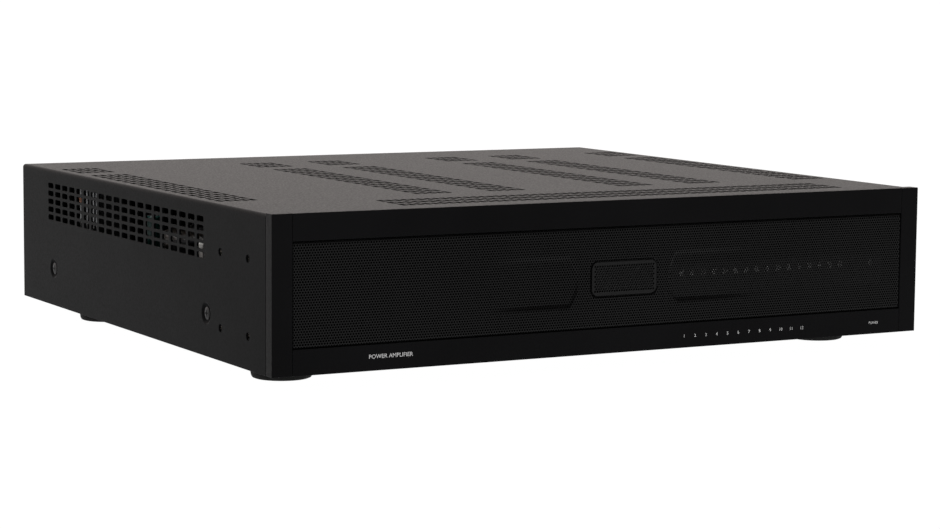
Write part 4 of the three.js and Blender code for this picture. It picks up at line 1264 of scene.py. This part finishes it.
def make_boards():
    """The two amplifier boards with their larger components."""
    for word in SIDES:
        name = f"amplifier_board_{word}"
        x = middle(span(name)[0])
        parts = [(board_plate(name), BOARD)]
        for y in (120, 200, 280):
            parts.append((on_board(around(x, 16), around(y, 16), 20, 0.6, 3), BLACK_PLASTIC))
        for y in range(148, 180, 8):
            parts += can(x - 3.5, y, 3, 12, BLACK_SLEEVE)
            parts += can(x + 3.5, y + BANK_STEP, 3, 12, BLACK_SLEEVE)
        for y in range(146, 182, 4):
            parts.append((on_board(around(x + 4, 6), around(y, 1.8), 2, 0.4), WHITE_PLASTIC))
            parts.append((on_board(around(x - 4, 4), around(y + BANK_STEP, 2.4), 5, 0.4), BLUE_PLASTIC))
        detail(name, parts, "circuit_board")


def make_supply_board():
    """The supply board with its capacitors and blocks, and the clip and sheet beside its heatsink."""
    plate = board_plate("power_supply_board")
    connector = block((-206.5, -203.5), (116, 127), (BOARD_TOP, 60.5), 0.6, 3)
    relays = [on_board((-160, -136), around(y, 9), 17, 0.8, 3) for y in (128, 142)]
    filter_block = on_board((-176, -126), (306, 340), 28, 1, 3)
    clip = block((-207.6, -205.5), (309.5, 313.6), (67.5, 71.5), 0.4)
    sheet = block((-206.8, -190.2), (281.9, 282.8), (BOARD_TOP, 79), 0.1)
    parts = [(plate, BOARD), (connector, WHITE_PLASTIC), (clip, ORANGE_PLASTIC)]
    parts += coated(BLACK_PLASTIC, *relays, filter_block, sheet)
    for x in (-178, -164, -150, -136):
        parts += can(x, 104, 5, 22, BLACK_SLEEVE)
    detail("power_supply_board", parts, "circuit_board")


def finish_kept_nodes():
    """The CAD nodes whose shape is right get their material here."""
    kept = {"base_pan": COVER_PAINT, "power_supply_heatsink": ALUMINIUM, "mains_lead": BLACK_PLASTIC,
            "lamp_ribbon": GREY_PLASTIC, "input_board": BOARD}
    kept.update({f"heatsink_{i}": BLACK_ANODISED for i in range(1, 5)})
    for name, material in kept.items():
        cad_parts[name].material_slots[0].material = material


# --- Camera, light and floor ----------------------------------------------------------------------------

CAMERA_AT = (-795.2, -1269.9, 219.4)
CAMERA_YAW = math.radians(28.852)
CAMERA_PITCH = math.radians(-6.446)
CAMERA_ROLL = math.radians(0.465)
CAMERA_LENS = 100.8
SUN_POWER = 2.5
ROOM_LIGHT = 0.15
WALL_LIGHT = 1.6
FLOOR_GLOW = 1.0


def make_camera():
    """The camera stands left of the front and a little above the case, and looks slightly down."""
    level = math.cos(CAMERA_PITCH)
    ahead = Vector((math.sin(CAMERA_YAW) * level, math.cos(CAMERA_YAW) * level, math.sin(CAMERA_PITCH)))
    right = Vector((math.cos(CAMERA_YAW), -math.sin(CAMERA_YAW), 0))
    up = right.cross(ahead)
    turned_right = math.cos(CAMERA_ROLL) * right + math.sin(CAMERA_ROLL) * up
    turned_up = math.cos(CAMERA_ROLL) * up - math.sin(CAMERA_ROLL) * right
    camera = bpy.data.cameras.new("camera")
    camera.lens = CAMERA_LENS
    camera.sensor_width = 36
    camera.clip_start = 0.05
    thing = bpy.data.objects.new("camera", camera)
    turn = Matrix((turned_right, turned_up, -ahead)).transposed().to_4x4()
    thing.matrix_world = Matrix.Translation(TO_ROW @ Vector(CAMERA_AT)) @ turn
    bpy.context.scene.collection.objects.link(thing)
    bpy.context.scene.camera = thing


def make_sun():
    """Broad light from above, which comes a little from the left and the back."""
    light = bpy.data.lights.new("sun", "SUN")
    light.energy = SUN_POWER
    light.angle = math.radians(50)
    thing = bpy.data.objects.new("sun", light)
    thing.rotation_euler = Vector((0.15, -0.12, -1)).to_track_quat("-Z", "Y").to_euler()
    bpy.context.scene.collection.objects.link(thing)


def make_world():
    """A studio with a bright wall behind the object that fades to a dim room in front of it."""
    world = bpy.data.worlds.new("studio")
    world.use_nodes = True
    tree = world.node_tree
    background = tree.nodes["Background"]
    direction = tree.nodes.new("ShaderNodeTexCoord")
    parts = tree.nodes.new("ShaderNodeSeparateXYZ")
    fade = tree.nodes.new("ShaderNodeMapRange")
    fade.interpolation_type = "SMOOTHSTEP"
    limits = {"From Min": -0.2, "From Max": 0.8, "To Min": ROOM_LIGHT, "To Max": WALL_LIGHT}
    for name, value in limits.items():
        fade.inputs[name].default_value = value
    tree.links.new(direction.outputs["Generated"], parts.inputs[0])
    tree.links.new(parts.outputs["Y"], fade.inputs["Value"])
    tree.links.new(fade.outputs[0], background.inputs["Strength"])
    background.inputs["Color"].default_value = (1.0, 0.93, 0.9, 1)
    bpy.context.scene.world = world


def make_floor():
    """A white floor lit from below, so that it shows no shadow."""
    size = 40
    mesh = bpy.data.meshes.new("floor")
    corners = [(-size, -size, 0), (size, -size, 0), (size, size, 0), (-size, size, 0)]
    mesh.from_pydata(corners, [], [(0, 1, 2, 3)])
    finish = Finish("lit_floor", grey(0.02), 0.9, specular=0.0)
    finish.colour(finish.tint(finish.noise(300, 3), grey(0.018), grey(0.022)))
    finish.shader.inputs["Emission Color"].default_value = (1, 1, 1, 1)
    finish.shader.inputs["Emission Strength"].default_value = FLOOR_GLOW
    mesh.materials.append(finish.material)
    floor = bpy.data.objects.new("floor", mesh)
    bpy.context.scene.collection.objects.link(floor)


make_camera()
make_world()
make_sun()
make_floor()
bpy.context.scene.view_settings.view_transform = "Standard"

PIECE_MAKERS = (
    make_front_frame, make_end_caps, make_grille, make_badge, make_shade_sheet, make_lamps,
    make_front_print, make_cover, make_cover_screws, make_nut_plates, make_feet, make_rear_panel,
    make_rear_print, make_inlet, make_fuse_drawer, make_rocker, make_fan, make_service_column,
    make_ground_post, make_input_jacks, make_knobs, make_speaker_header, make_speaker_plugs,
    make_capacitors, make_transformer, make_boards, make_supply_board,
)
for make in PIECE_MAKERS:
    make()
finish_kept_nodes()
